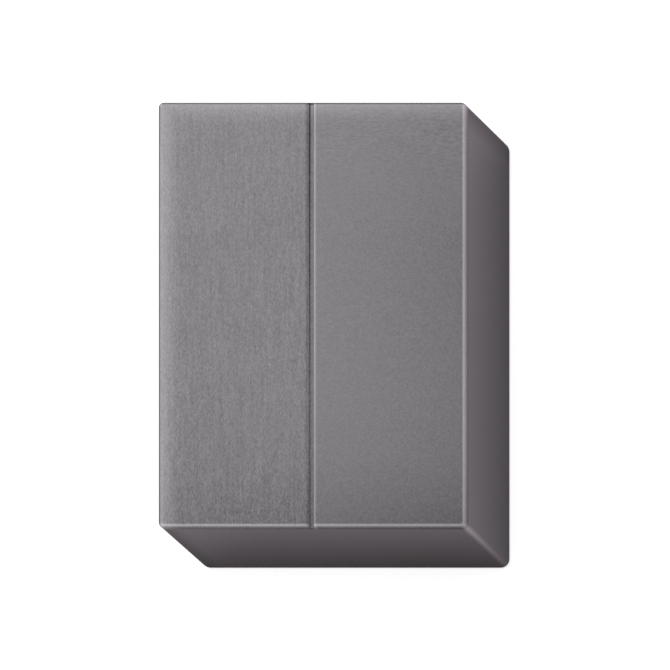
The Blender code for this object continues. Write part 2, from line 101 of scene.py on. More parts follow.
class CELL_PG_can(bpy.types.PropertyGroup):
    front_corner: length("Front corner", "Radius of the body's corners at the beaded face", 0.0024)
    back_corner: length("Back corner", "Radius of the body's corners at the plain face", 0.0041)
    edge_radius: length("Edge radius", "Rounding all round both wide faces", 0.0013)
    wall: length("Wall", "Thickness of the can's sheet", 0.0008)
    bead_depth: length("Bead depth", "How far the bead is pressed in", 0.0008)
    bead_floor: length("Bead floor", "Half the width of the bead's flat floor", 0.0009)
    bead_wall: length("Bead wall", "Run of the bead's steep walls", 0.00010)
    bead_offset: length("Bead offset", "How far the bead lies left of the middle", 0.0003)
    left_shoulder: length("Left shoulder", "Run of the slope down to the bead from the left panel", 0.0016)
    right_shoulder: length("Right shoulder", "Run of the slope down to the bead from the right panel", 0.0010)
    shoulder_drop: length("Shoulder drop", "How deep the shoulders sink before the bead's walls", 0.00036)


class CELL_PG_cover(bpy.types.PropertyGroup):
    corner: length("Corner", "Radius of the cover plate's corners", 0.0020)
    edge: length("Edge rounding", "Small rounding on punched and moulded edges", 0.00015)
    post_hole: length("Post hole", "Radius of the holes that the terminal posts pass through", 0.0053)
    vent_ledge: length("Vent ledge", "Width of the ledge that the vent disc rests on", 0.0013)
    fill_hole: length("Fill hole", "Radius of the hole that the cell is filled through", 0.0015)
    weld_width: length("Weld width", "Width of the seam that joins the cover to the can", 0.00090)
    weld_rise: length("Weld rise", "Height of the weld seam over the cover", 0.0002)
    mark: length("Polarity mark", "Length of the stamped polarity marks", 0.0042)
    mark_width: length("Mark width", "Width of the strokes of the polarity marks", 0.0008)
    mark_depth: length("Mark depth", "How deep the polarity marks are stamped", 0.0003)
    mark_place: length("Mark place", "How far each polarity mark is from the middle", 0.0245)
    score_inset: length("Score inset", "How far the vent's score line lies inside its edge", 0.0016)
    score_width: length("Score width", "Width of the score lines", 0.00018)
    score_depth: length("Score depth", "Depth of the score lines", 0.00012)
    score_end: length("Score end", "From the vent's end to where its middle score line forks", 0.0048)
    score_arm: length("Score arm", "Length of the forked score lines", 0.0022)


class CELL_PG_terminal(bpy.types.PropertyGroup):
    corner: length("Corner", "Radius of the corners of the pads and their insulators", 0.0020)
    rim: length("Pad rounding", "Rounding round the top of the pads", 0.0004)
    spigot: length("Spigot", "Radius of the post's end inside the pad", 0.0030)
    shank: length("Shank", "Radius of the post where it passes through the cover", 0.0037)
    tail: length("Tail", "Radius of the post's end inside the collector", 0.0027)
    seal_wall: length("Seal wall", "Thickness of the seal round the post", 0.0010)
    counterbore: length("Counterbore", "Radius of the turned recess round the post", 0.0049)
    counterbore_depth: length("Counterbore depth", "Depth of the turned recess round the post", 0.00012)
    rib: length("Rib", "Thickness of the ribs under the cover insulators", 0.0012)
    web: length("Web", "Depth of the pockets between those ribs", 0.0009)


class CELL_PG_inside(bpy.types.PropertyGroup):
    foot: length("Foot", "Half the length of the collector's foot round the post", 0.0090)
    foot_step: length("Foot step", "How far the foot stops short of the arm's outer edge", 0.0020)
    bar_corner: length("Bar corner", "Radius of the collector's corners", 0.0015)
    foils: whole_number("Foils", "Foils drawn in each gathered tab", 7)
    foil: length("Foil", "Thickness that each drawn foil has", 0.00006)
    stack: length("Stack", "Half the thickness of a tab's gathered foils", 0.0003)
    fan: length("Fan", "Half the width over which a tab's foils spread where they leave the roll", 0.0046)
    wraps: whole_number("Wraps", "Raised and sunk wraps shown on a roll's ends", 9)
    wrap_step: length("Wrap step", "How far neighbouring wraps stand proud of each other", 0.00015)
    slot_depth: length("Slot depth", "Depth of the mandrel's slot at a roll's ends", 0.003)
    layer: length("Layer", "Spacing of the layers that the rolls' ends show", 0.00045)
    bend: length("Bend", "Size of the bend where a tab turns on to its collector", 0.0007)
    riser: length("Riser", "How far from the middle the outer tabs rise to the collector", 0.00965)
    lap: length("Lap", "How far from the middle the outer tabs end on the collector", 0.0037)
    horn_cuts: whole_number("Horn cuts", "Cuts across the welding horn's imprint", 7)
    horn_border: length("Horn border", "Plain border round the welding horn's imprint", 0.0004)
    horn_wall: length("Horn wall", "Run of the imprint's sloping walls", 0.00008)
    horn_depth: length("Horn depth", "Depth of each square of the imprint", 0.00015)
    tray_hole: length("Tray hole", "Radius of the holes in the base tray", 0.003)
    tray_pitch: length("Tray pitch", "Distance between the holes in the base tray", 0.02)


class CELL_PG_finish(bpy.types.PropertyGroup):
    can: colour("Can metal", "Satin dark metal of the can", (0.238, 0.228, 0.241))
    cover: colour("Cover metal", "Rolled aluminium of the cover", (0.66, 0.66, 0.67))
    terminal: colour("Terminal metal", "Machined aluminium of the terminal pads", (0.72, 0.72, 0.73))
    aluminium: colour("Conductor aluminium", "Plain aluminium inside the cell", (0.70, 0.70, 0.71))
    copper: colour("Conductor copper", "Plain copper inside the cell", (0.72, 0.36, 0.22))
    black: colour("Black plastic", "Moulded insulators", (0.030, 0.030, 0.032))
    tray: colour("Tray plastic", "Moulded tray under the rolls", (0.70, 0.70, 0.68))
    rubber: colour("Seal rubber", "Seals and plug", (0.040, 0.040, 0.040))
    film: colour("Guard film", "Clear film over the vent", (0.60, 0.68, 0.75))
    sleeve: colour("Sleeve film", "Film sleeve between the rolls and the can", (0.55, 0.68, 0.72))
    tape: colour("Tape", "Tape that binds the rolls", (0.05, 0.33, 0.20))
    separator: colour("Separator", "White film that the rolls are wound in", (0.80, 0.80, 0.77))


class CELL_PG_stage(bpy.types.PropertyGroup):
    floor: share("Floor tone", "Lightness of the floor in the picture", 0.85)
    bounce: share("Floor bounce", "Lightness of the floor as the metal mirrors it", 0.80)
    lift: share("Floor lift", "Extra light on the floor in the picture", 0.64)
    sky: share("Sky", "Brightness of the room's light", 0.58, 10.0)
    key: share("Key light", "Power of the soft light at the upper left, in watts", 0.24, 1000.0)
    top: share("Top light", "Power of the soft light overhead, in watts", 0.25, 1000.0)
    side: share("Side light", "Power of the low soft light at the left, in watts", 0.18, 1000.0)
    lean_right: share("Lean right", "How far the view leans right for each unit of height", 0.680)
    lean_near: share("Lean near", "How far the view leans to the near end for each unit of height", 0.634)
    aim_right: length("Aim right", "How far right of the cell's middle the view aims", 0.01025)
    aim_near: length("Aim near", "How far nearer than the cell's middle the view aims", 0.01060)
    view_rise: length("View rise", "Height of the camera over the wide face", 1.2)
    view_width: length("View width", "Width of floor that the view takes in", 0.2913)


def settings():
    return bpy.context.scene.cell


# Modelling by hand tools

def deselect_all():
    bpy.ops.object.select_all(action="DESELECT")


def take_up(piece):
    """Make one object the only selected and active one."""
    deselect_all()
    piece.select_set(True)
    bpy.context.view_layer.objects.active = piece


@contextmanager
def editing(piece):
    take_up(piece)
    bpy.ops.object.mode_set(mode="EDIT")
    yield
    bpy.ops.object.mode_set(mode="OBJECT")


MODES = {"verts": "VERT", "edges": "EDGE", "faces": "FACE"}


def choose(piece, kind, test):
    """In edit mode, select the vertices, edges or faces that pass a test."""
    bpy.ops.mesh.select_mode(type=MODES[kind])
    bpy.ops.mesh.select_all(action="DESELECT")
    bm = bmesh.from_edit_mesh(piece.data)
    for item in getattr(bm, kind):
        if test(item):
            item.select_set(True)
    bmesh.update_edit_mesh(piece.data)


def runs_along(axis):
    """Test for edges parallel to one axis."""
    def test(edge):
        run = edge.verts[1].co - edge.verts[0].co
        return abs(run[axis]) > 0.999 * run.length
    return test


def lies_at(axis, value, slack=TINY):
    """Test for edges and faces that lie in one plane across an axis."""
    def test(item):
        return all(abs(vert.co[axis] - value) < slack for vert in item.verts)
    return test


def settle(piece):
    """Put an object's place into its mesh."""
    take_up(piece)
    bpy.ops.object.transform_apply(location=True, rotation=True, scale=True)


def block(name, low, high):
    deselect_all()
    low, high = Vector(low), Vector(high)
    bpy.ops.mesh.primitive_cube_add(size=1, location=(low + high) / 2)
    bpy.ops.transform.resize(value=high - low, center_override=(low + high) / 2)
    piece = bpy.context.object
    piece.name = piece.data.name = name
    settle(piece)
    return piece


def disc(name, centre, radius, y_low, y_high, vertices=64):
    """Cylinder that stands along the cell's length."""
    deselect_all()
    place = (centre[0], (y_low + y_high) / 2, centre[1])
    bpy.ops.mesh.primitive_cylinder_add(vertices=vertices, radius=radius, depth=y_high - y_low,
                                        location=place, rotation=(math.pi / 2, 0, 0))
    piece = bpy.context.object
    piece.name = piece.data.name = name
    settle(piece)
    return piece


def bevel(offset, segments, affect="EDGES", profile=0.5):
    bpy.ops.mesh.bevel(offset=offset, segments=segments, affect=affect, profile=profile, clamp_overlap=False)


def round_edges(piece, test, radius, segments):
    with editing(piece):
        choose(piece, "edges", test)
        bevel(radius, segments)


def plate(name, low, high, corner, segments=8, rim=0.0, rim_segments=3):
    """Slab across the length with rounded corners, and a rounded rim at its +Y face."""
    piece = block(name, low, high)
    round_edges(piece, runs_along(1), corner, segments)
    if rim:
        round_edges(piece, lies_at(1, Vector(high).y), rim, rim_segments)
    return piece


def stadium(name, low, high, rim=0.0):
    """Slab across the length whose ends are half circles."""
    half = (Vector(high).z - Vector(low).z) / 2
    piece = plate(name, low, high, half - TINY, 16)
    with editing(piece):
        bpy.ops.mesh.select_all(action="SELECT")
        bpy.ops.mesh.remove_doubles(threshold=4 * TINY)
    if rim:
        round_edges(piece, lies_at(1, Vector(high).y), rim, 3)
    return piece


def apply_modifier(piece, kind, **values):
    modifier = piece.modifiers.new(kind.lower(), kind)
    for key, value in values.items():
        setattr(modifier, key, value)
    take_up(piece)
    bpy.ops.object.modifier_apply(modifier=modifier.name)


def cut(piece, cutter):
    """Take the cutter's shape out of the piece, and throw the cutter away."""
    apply_modifier(piece, "BOOLEAN", object=cutter, operation="DIFFERENCE", solver="EXACT")
    bpy.data.objects.remove(cutter, do_unlink=True)


def union(piece, other):
    apply_modifier(piece, "BOOLEAN", object=other, operation="UNION", solver="EXACT")
    bpy.data.objects.remove(other, do_unlink=True)


def join(pieces, name):
    deselect_all()
    for piece in pieces:
        piece.select_set(True)
    bpy.context.view_layer.objects.active = pieces[0]
    bpy.ops.object.join()
    pieces[0].name = pieces[0].data.name = name
    return pieces[0]


def turned(name, centre, profile, closed=False, vertices=48):
    """Round piece about a line along the length, drawn out ring by ring from (radius, y) pairs."""
    deselect_all()
    radius, y = profile[0]
    fill = "NOTHING" if closed else "NGON"
    bpy.ops.mesh.primitive_circle_add(vertices=vertices, radius=radius, fill_type=fill,
                                      location=(centre, y, MIDDLE.z), rotation=(math.pi / 2, 0, 0))
    piece = bpy.context.object
    piece.name = piece.data.name = name
    settle(piece)
    with editing(piece):
        bpy.ops.mesh.select_mode(type="EDGE")
        bpy.ops.mesh.select_all(action="SELECT")
        if not closed:
            bpy.ops.mesh.select_mode(type="FACE")
        for next_radius, next_y in profile[1:]:
            bpy.ops.mesh.extrude_region_move(TRANSFORM_OT_translate={"value": (0, next_y - y, 0)})
            spread = next_radius / radius
            bpy.ops.transform.resize(value=(spread, 1, spread), center_override=(centre, next_y, MIDDLE.z))
            radius, y = next_radius, next_y
        if closed:
            choose(piece, "edges", lambda edge: edge.is_boundary)
            bpy.ops.mesh.bridge_edge_loops()
        bpy.ops.mesh.select_all(action="SELECT")
        bpy.ops.mesh.normals_make_consistent(inside=False)
    return piece


def soften(piece, width, segments=2):
    """Round every sharp edge a little."""
    apply_modifier(piece, "BEVEL", width=width, segments=segments, limit_method="ANGLE",
                   angle_limit=math.radians(40))


def copy_of(piece, name, move=(0, 0, 0), half_turn=False):
    """Copy with its own mesh, turned half round about the cell's length or moved."""
    take_up(piece)
    bpy.ops.object.duplicate()
    twin = bpy.context.object
    twin.name = twin.data.name = name
    if half_turn:
        bpy.ops.transform.rotate(value=math.pi, orient_axis="Y", center_override=(0, 0, MIDDLE.z))
    bpy.ops.transform.translate(value=move)
    settle(twin)
    return twin


def hollow(node, clearance, y_low, y_high):
    """Corners of the hollow that a piece sits in, between two levels along the length."""
    low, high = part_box(node)
    return (low.x - clearance, y_low, low.z - clearance), (high.x + clearance, y_high, high.z + clearance)


def centre_of(node):
    low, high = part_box(node)
    return (low + high) / 2


def smooth(piece, angle=30.0, weighted=True):
    take_up(piece)
    bpy.ops.object.shade_smooth_by_angle(angle=math.radians(angle))
    if weighted:
        apply_modifier(piece, "WEIGHTED_NORMAL", keep_sharp=True, weight=80)


def hand_over(piece, slot, *nodes, finish=None):
    """Give a finished piece its place in the frame, and its slot's finish unless another is named."""
    piece.data.materials.clear()
    piece.data.materials.append(FINISHES[finish or slot])
    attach(piece, "root")
    if nodes:
        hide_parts(*nodes)
    deselect_all()


# Finishes

def add_node(tree, kind, inputs=None, **values):
    node = tree.nodes.new(kind)
    for key, value in values.items():
        setattr(node, key, value)
    for key, value in (inputs or {}).items():
        if isinstance(value, bpy.types.NodeSocket):
            tree.links.new(value, node.inputs[key])
        else:
            node.inputs[key].default_value = value
    return node


def maths(tree, operation, *values):
    inputs = {i: value for i, value in enumerate(values)}
    return add_node(tree, "ShaderNodeMath", inputs, operation=operation).outputs[0]


def total(tree, first, *others):
    for value in others:
        first = maths(tree, "ADD", first, value)
    return first


def product(tree, first, *others):
    for value in others:
        first = maths(tree, "MULTIPLY", first, value)
    return first


def reach_from(tree, value, middle):
    """How far a value is from a middle."""
    return maths(tree, "ABSOLUTE", maths(tree, "SUBTRACT", value, middle))


def swing(tree, pattern, amount, middle=0.0):
    """A pattern's swing about a half, made stronger or weaker and laid on a middle."""
    return maths(tree, "MULTIPLY_ADD", maths(tree, "SUBTRACT", pattern, 0.5), amount, middle)


def ramp(tree, value, low, high, start=0.0, end=1.0):
    """Value that runs from start to end while the given one goes from low to high."""
    inputs = {"Value": value, "From Min": low, "From Max": high, "To Min": start, "To Max": end}
    return add_node(tree, "ShaderNodeMapRange", inputs).outputs["Result"]


def noise(tree, vector, scale, detail=2.0, roughness=0.5):
    inputs = {"Vector": vector, "Scale": scale, "Detail": detail, "Roughness": roughness}
    return add_node(tree, "ShaderNodeTexNoise", inputs).outputs["Fac"]


def fade(tree, value, start, end, power, amount):
    """Amount that grows from nothing at start to all of it at end, along a curve."""
    part = ramp(tree, value, start, end)
    return maths(tree, "MULTIPLY", maths(tree, "POWER", part, power), amount)


def mix_values(tree, factor, first, second):
    inputs = {0: factor, 2: first, 3: second}
    return add_node(tree, "ShaderNodeMix", inputs, data_type="FLOAT").outputs[0]


def blend_colours(tree, factor, first, second, mode="MIX"):
    inputs = {0: factor, 6: first, 7: second}
    return add_node(tree, "ShaderNodeMix", inputs, data_type="RGBA", blend_type=mode).outputs[2]


def new_group(name, inputs, outputs):
    """Node group with named sockets; gives back the tree, its input node and its output node."""
    tree = bpy.data.node_groups.new(name, "ShaderNodeTree")
    for socket_name, kind, default in inputs:
        socket = tree.interface.new_socket(socket_name, in_out="INPUT", socket_type=kind)
        if default is not None:
            socket.default_value = default
    for socket_name, kind in outputs:
        tree.interface.new_socket(socket_name, in_out="OUTPUT", socket_type=kind)
    return tree, tree.nodes.new("NodeGroupInput"), tree.nodes.new("NodeGroupOutput")


FLOAT = "NodeSocketFloat"
VECTOR = "NodeSocketVector"


def stroke_grain_group():
    """Fine strokes drawn out along one axis, as a brush or a rolling mill leaves them."""
    tree, given, result = new_group(
        "Stroke Grain",
        [("Vector", VECTOR, None), ("Stretch", VECTOR, (1.0, 1.0, 1.0)), ("Scale", FLOAT, 1000.0)],
        [("Strokes", FLOAT)],
    )
    inputs = {0: given.outputs["Vector"], 1: given.outputs["Stretch"]}
    stretched = add_node(tree, "ShaderNodeVectorMath", inputs, operation="MULTIPLY").outputs["Vector"]
    fine = noise(tree, stretched, given.outputs["Scale"], 3.0, 0.6)
    coarse = noise(tree, stretched, product(tree, given.outputs["Scale"], 0.28))
    strokes = maths(tree, "MULTIPLY_ADD", coarse, 0.15, product(tree, fine, 0.85))
    tree.links.new(strokes, result.inputs["Strokes"])


def cloud_group():
    """Slow uneven patches, as handling and storage leave on a surface."""
    tree, given, result = new_group(
        "Clouding",
        [("Vector", VECTOR, None), ("Scale", FLOAT, 30.0), ("Contrast", FLOAT, 1.0)],
        [("Cloud", FLOAT)],
    )
    cloud = noise(tree, given.outputs["Vector"], given.outputs["Scale"], 4.0, 0.55)
    tree.links.new(swing(tree, cloud, given.outputs["Contrast"], 0.5), result.inputs["Cloud"])


def use_group(tree, name, inputs):
    return add_node(tree, "ShaderNodeGroup", inputs, node_tree=bpy.data.node_groups[name]).outputs[0]


def new_material(name, roughness, metallic, **constants):
    """Empty node material; gives back the material, its tree, its shader and the object coordinates."""
    material = bpy.data.materials.new(name)
    material.use_nodes = True
    tree = material.node_tree
    shader = tree.nodes["Principled BSDF"]
    shader.inputs["Roughness"].default_value = roughness
    shader.inputs["Metallic"].default_value = metallic
    for key, value in constants.items():
        shader.inputs[key].default_value = value
    place = add_node(tree, "ShaderNodeTexCoord").outputs["Object"]
    return material, tree, shader, place


def tint(tree, base, factor):
    """Base colour made lighter or darker by a value that varies about one."""
    grey = add_node(tree, "ShaderNodeCombineColor", {0: factor, 1: factor, 2: factor}).outputs[0]
    return blend_colours(tree, 1.0, (*base, 1.0), grey, "MULTIPLY")


def add_bump(tree, shader, height, strength, distance):
    inputs = {"Height": height, "Strength": strength, "Distance": distance}
    tree.links.new(add_node(tree, "ShaderNodeBump", inputs).outputs["Normal"], shader.inputs["Normal"])


def can_grain(tree, place, x, y):
    """Strokes along the left panel; a tighter grain on the right one, drawn across it at the far end."""
    def strokes(stretch, scale, amount):
        pattern = use_group(tree, "Stroke Grain", {"Vector": place, "Stretch": stretch, "Scale": scale})
        return swing(tree, pattern, amount)

    drawn = strokes(stretch=(1.0, 0.36, 1.0), scale=2400.0, amount=2.0)
    streaks = strokes(stretch=(1.0, 0.04, 1.0), scale=900.0, amount=0.62)
    even = strokes(stretch=(0.9, 0.9, 1.0), scale=1500.0, amount=0.90)
    rolled = strokes(stretch=(0.4, 1.0, 1.0), scale=1300.0, amount=1.10)
    on_right = ramp(tree, x, -0.001, 0.001)
    far_end = product(tree, on_right, ramp(tree, y, 0.040, 0.075))
    right = mix_values(tree, far_end, even, rolled)
    return mix_values(tree, on_right, total(tree, drawn, streaks), right)


def painted_panel_light_and_shade(tree, x, y):
    """Painted light and shade on the wide face: paler towards the left and far edges and the middle, darker
    towards the right and near edges.
    """
    # Painted light and shade: how the soft lights fall across the wide face, laid into its colour.
    far_painted_light = fade(tree, y, Y_END - 0.0115, Y_END, power=2.0, amount=0.62)
    left_painted_light = fade(tree, x, 0.0125 - HALF_WIDTH, -HALF_WIDTH, power=2.0, amount=0.72)
    left_painted_light = product(tree, left_painted_light, ramp(tree, y, Y_END, Y_BASE, 1.0, 1.4))
    near_painted_shade = fade(tree, y, Y_BASE + 0.032, Y_BASE, power=1.3, amount=-0.17)
    near_painted_shade = product(tree, near_painted_shade, ramp(tree, x, -HALF_WIDTH, 0.020, 0.35, 1.25))
    right_painted_shade = fade(tree, x, 0.0, HALF_WIDTH, power=1.5, amount=-0.20)
    right_painted_shade = product(tree, right_painted_shade, ramp(tree, y, 0.025, 0.085, 1.0, 0.3))
    middle_painted_light = fade(tree, reach_from(tree, y, -0.036), 0.065, 0.0, power=1.0, amount=0.07)
    return total(tree, maths(tree, "MAXIMUM", far_painted_light, left_painted_light), near_painted_shade, right_painted_shade, middle_painted_light)


def painted_bead_light_and_shade(tree, x, z):
    """The pressed bead: a painted highlight on the right crest, and painted shade on the left shoulder and on
    the floor.
    """
    # crest is a painted highlight; shoulder and floor are painted shade.
    crest = fade(tree, reach_from(tree, x, 0.0013), 0.0010, 0.0, power=1.0, amount=0.68)
    shoulder = fade(tree, x, -0.0026, -0.0012, power=1.5, amount=-0.38)
    shoulder = product(tree, shoulder, ramp(tree, x, -0.0008, -0.0016))
    floor = fade(tree, z, FRONT - 0.0007, FRONT - 0.0008, power=1.0, amount=-0.12)
    return total(tree, crest, shoulder, floor)


def painted_edge_highlights(tree, x, y, z):
    """Painted highlights on the wide face's right and near edges, and weaker painted highlights on the
    upright corners.
    """
    # Painted highlights along the edges that catch the light, stronger on the corners towards the wide face.
    right_rim = maths(tree, "SUBTRACT", x, HALF_WIDTH - EDGE_SEEN)
    right = product(tree, fade(tree, right_rim, 0.0, 0.0003, power=1.0, amount=0.85),
                    ramp(tree, z, FRONT - 0.0016, FRONT - 0.0006))
    near_rim = maths(tree, "SUBTRACT", Y_BASE + EDGE_SEEN, y)
    near = product(tree, fade(tree, near_rim, 0.0, 0.0003, power=1.0, amount=0.95),
                   ramp(tree, z, FRONT - 0.0009, FRONT - 0.0001))
    across_depth = maths(tree, "SUBTRACT", HALF_WIDTH, maths(tree, "ABSOLUTE", x))
    along_depth = maths(tree, "SUBTRACT", (Y_END - Y_BASE) / 2, reach_from(tree, y, MIDDLE.y))
    from_corner = maths(tree, "MAXIMUM", across_depth, along_depth)
    corner = product(tree, fade(tree, from_corner, 0.0024, 0.0008, power=1.0, amount=1.15),
                     ramp(tree, z, 0.0, FRONT, 0.1, 0.75))
    return total(tree, maths(tree, "MAXIMUM", right, near), corner)


def painted_rim_shade(tree, x, y, on_top):
    """Painted shade: share of the brightness that is left at the wide face's left and far edges."""
    rim = maths(tree, "MAXIMUM", maths(tree, "SUBTRACT", -HALF_WIDTH + EDGE_SEEN, x),
                maths(tree, "SUBTRACT", y, Y_END - EDGE_SEEN))
    loss = fade(tree, rim, 0.0, 0.0007, power=1.0, amount=-0.72)
    return maths(tree, "MULTIPLY_ADD", loss, on_top, 1.0)


def painted_side_shade(tree, x, y, z):
    """Painted shade on the narrow sides: darker on the near end, and towards the left and far edges."""
    near_end = fade(tree, y, Y_BASE + 0.0008, Y_BASE, power=1.0, amount=-0.44)
    near_end = product(tree, near_end, ramp(tree, z, 0.9 * FRONT, 0.1 * FRONT, 0.5, 1.0),
                       ramp(tree, x, -HALF_WIDTH, HALF_WIDTH, 0.75, 1.0))
    left_end = fade(tree, x, 0.010 - HALF_WIDTH, -HALF_WIDTH, power=1.2, amount=-0.40)
    far_side = fade(tree, y, Y_END - 0.012, Y_END, power=1.2, amount=-0.50)
    return total(tree, near_end, left_end, far_side)


def can_finish(base):
    """Satin can metal: grain on the wide face, painted highlights and painted shade along the edges, and
    painted shade on the sides, darker towards the floor.
    """
    material, tree, shader, place = new_material("can_satin_metal", 0.45, 0.9)
    x, y, z = add_node(tree, "ShaderNodeSeparateXYZ", {0: place}).outputs
    on_top = ramp(tree, z, FRONT - 0.0022, FRONT - 0.0010)
    on_side = maths(tree, "SUBTRACT", 1.0, on_top)
    grain = product(tree, can_grain(tree, place, x, y), on_top)
    # Painted light and shade on the wide face and its bead.
    shade = product(tree, total(tree, painted_panel_light_and_shade(tree, x, y), painted_bead_light_and_shade(tree, x, z)), on_top)
    # Painted shade on the narrow sides.
    sides = product(tree, painted_side_shade(tree, x, y, z), on_side)
    # Painted highlights on the edges and upright corners are added here.
    factor = total(tree, grain, shade, sides, painted_edge_highlights(tree, x, y, z), 1.0)
    cloud = use_group(tree, "Clouding", {"Vector": place, "Scale": 38.0, "Contrast": 1.0})
    # Painted shade and light on the sides: darker towards the floor, lighter towards the wide face.
    depth = mix_values(tree, on_top, ramp(tree, z, 0.0, FRONT, 0.74, 1.30), 1.0)
    # Painted shade along the wide face's left and far edges scales the colour here.
    factor = product(tree, swing(tree, cloud, 0.10, factor), depth, painted_rim_shade(tree, x, y, on_top))
    tree.links.new(tint(tree, base, factor), shader.inputs["Base Color"])
    dull = maths(tree, "MULTIPLY_ADD", grain, 0.2, swing(tree, cloud, 0.12, 0.45))
    tree.links.new(dull, shader.inputs["Roughness"])
    add_bump(tree, shader, grain, 0.15, 0.0001)
    return material


def metal_finish(name, base, roughness, stretch, scale, contrast=0.18, bump=0.15):
    """Plain metal with strokes along one axis."""
    material, tree, shader, place = new_material(name, roughness, 1.0)
    strokes = use_group(tree, "Stroke Grain", {"Vector": place, "Stretch": stretch, "Scale": scale})
    cloud = use_group(tree, "Clouding", {"Vector": place, "Scale": 90.0, "Contrast": 1.0})
    factor = swing(tree, cloud, 0.1, swing(tree, strokes, contrast, 1.0))
    tree.links.new(tint(tree, base, factor), shader.inputs["Base Color"])
    tree.links.new(swing(tree, strokes, 0.25, roughness), shader.inputs["Roughness"])
    add_bump(tree, shader, strokes, bump, 0.00005)
    return material


def moulded_finish(name, base, roughness):
    """Moulded plastic or rubber with a fine spark-eroded grain."""
    material, tree, shader, place = new_material(name, roughness, 0.0)
    grain = noise(tree, place, 1800.0)
    cloud = use_group(tree, "Clouding", {"Vector": place, "Scale": 120.0, "Contrast": 1.0})
    tree.links.new(tint(tree, base, swing(tree, cloud, 0.3, 1.0)), shader.inputs["Base Color"])
    tree.links.new(swing(tree, grain, 0.2, roughness), shader.inputs["Roughness"])
    add_bump(tree, shader, grain, 0.2, 0.00005)
    return material


def film_finish(name, base, roughness, opacity):
    """Thin film that shows slow waves and is partly clear."""
    material, tree, shader, place = new_material(name, roughness, 0.0, Alpha=opacity)
    waves = use_group(tree, "Clouding", {"Vector": place, "Scale": 140.0, "Contrast": 1.4})
    tree.links.new(tint(tree, base, swing(tree, waves, 0.15, 1.0)), shader.inputs["Base Color"])
    tree.links.new(maths(tree, "MULTIPLY_ADD", waves, 0.1, roughness), shader.inputs["Roughness"])
    add_bump(tree, shader, waves, 0.3, 0.0002)
    return material


def hypotenuse(tree, first, second):
    squared = maths(tree, "MULTIPLY_ADD", first, first, product(tree, second, second))
    return maths(tree, "SQRT", squared)


def waves_along(tree, place, run, pitch, wander, scale):
    """Even waves along a run, which wander a little from their places."""
    drift = noise(tree, place, scale)
    phase = maths(tree, "MULTIPLY_ADD", drift, wander, product(tree, run, 2 * math.pi / pitch))
    return maths(tree, "MULTIPLY_ADD", maths(tree, "SINE", phase), 0.5, 0.5)


def winding_finish(base):
    """Wound foils: white film outside, and on the ends fine dark and copper layers along the outline."""
    material, tree, shader, place = new_material("wound_layers", 0.5, 0.0)
    low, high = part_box("right_front_roll")
    middle, half = (low + high) / 2, (high - low) / 2
    x, y, z = add_node(tree, "ShaderNodeSeparateXYZ", {0: place}).outputs
    across = reach_from(tree, maths(tree, "ABSOLUTE", x), middle.x)
    through = maths(tree, "SUBTRACT", reach_from(tree, z, MIDDLE.z), middle.z - MIDDLE.z)
    beyond = maths(tree, "MAXIMUM", maths(tree, "SUBTRACT", across, half.x - half.z), 0.0)
    reach = hypotenuse(tree, beyond, through)
    band = waves_along(tree, place, reach, pitch=settings().inside.layer, wander=3.0, scale=160.0)
    on_end = ramp(tree, reach_from(tree, y, middle.y), half.y - 0.0006, half.y - 0.0003)
    cloud = use_group(tree, "Clouding", {"Vector": place, "Scale": 60.0, "Contrast": 1.0})
    film = tint(tree, base, swing(tree, cloud, 0.16, 1.0))
    dark_coating, copper_edge = (0.035, 0.035, 0.04, 1.0), (0.50, 0.24, 0.13, 1.0)
    coated = blend_colours(tree, ramp(tree, band, 0.35, 0.75), dark_coating, (*base, 1.0))
    coated = blend_colours(tree, ramp(tree, band, 0.12, 0.02), coated, copper_edge)
    tree.links.new(blend_colours(tree, on_end, film, coated), shader.inputs["Base Color"])
    tree.links.new(maths(tree, "MULTIPLY_ADD", band, -0.15, 0.6), shader.inputs["Roughness"])
    height = maths(tree, "MULTIPLY_ADD", product(tree, band, on_end), 0.6, cloud)
    add_bump(tree, shader, height, 0.3, 0.0001)
    return material


def weld_finish(base):
    """Rippled weld metal: even scales along the seam, duller between them."""
    material, tree, shader, place = new_material("weld_seam_metal", 0.35, 1.0)
    parts = add_node(tree, "ShaderNodeSeparateXYZ", {0: place}).outputs
    run = maths(tree, "ADD", parts["X"], parts["Z"])
    ripple = waves_along(tree, place, run, pitch=0.00045, wander=2.0, scale=900.0)
    factor = maths(tree, "MULTIPLY_ADD", ripple, 0.55, 0.45)
    tree.links.new(tint(tree, base, factor), shader.inputs["Base Color"])
    tree.links.new(maths(tree, "MULTIPLY_ADD", ripple, -0.15, 0.45), shader.inputs["Roughness"])
    add_bump(tree, shader, ripple, 0.6, 0.00008)
    return material


def machined_finish(base):
    """Terminal metal: fine rings turned round the post, over a straight milled grain."""
    material, tree, shader, place = new_material("terminal_machined_metal", 0.3, 1.0)
    middle = centre_of("negative_terminal_pad")
    parts = add_node(tree, "ShaderNodeSeparateXYZ", {0: place}).outputs
    across = maths(tree, "SUBTRACT", maths(tree, "ABSOLUTE", parts["X"]), middle.x)
    through = maths(tree, "SUBTRACT", parts["Z"], middle.z)
    reach = hypotenuse(tree, across, through)
    ring_place = add_node(tree, "ShaderNodeCombineXYZ", {0: reach, 1: 0.0, 2: 0.0}).outputs[0]
    rings = noise(tree, ring_place, 9000.0, 1.0, 0.5)
    milled = use_group(tree, "Stroke Grain", {"Vector": place, "Stretch": (0.06, 1.0, 1.0), "Scale": 2400.0})
    near_post = ramp(tree, reach, 0.0056, 0.0050)
    strokes = mix_values(tree, near_post, milled, rings)
    cloud = use_group(tree, "Clouding", {"Vector": place, "Scale": 150.0, "Contrast": 1.0})
    factor = swing(tree, cloud, 0.12, swing(tree, strokes, 0.30, 1.0))
    tree.links.new(tint(tree, base, factor), shader.inputs["Base Color"])
    tree.links.new(maths(tree, "MULTIPLY_ADD", strokes, 0.25, 0.18), shader.inputs["Roughness"])
    add_bump(tree, shader, strokes, 0.2, 0.00004)
    return material


FINISHES = {}


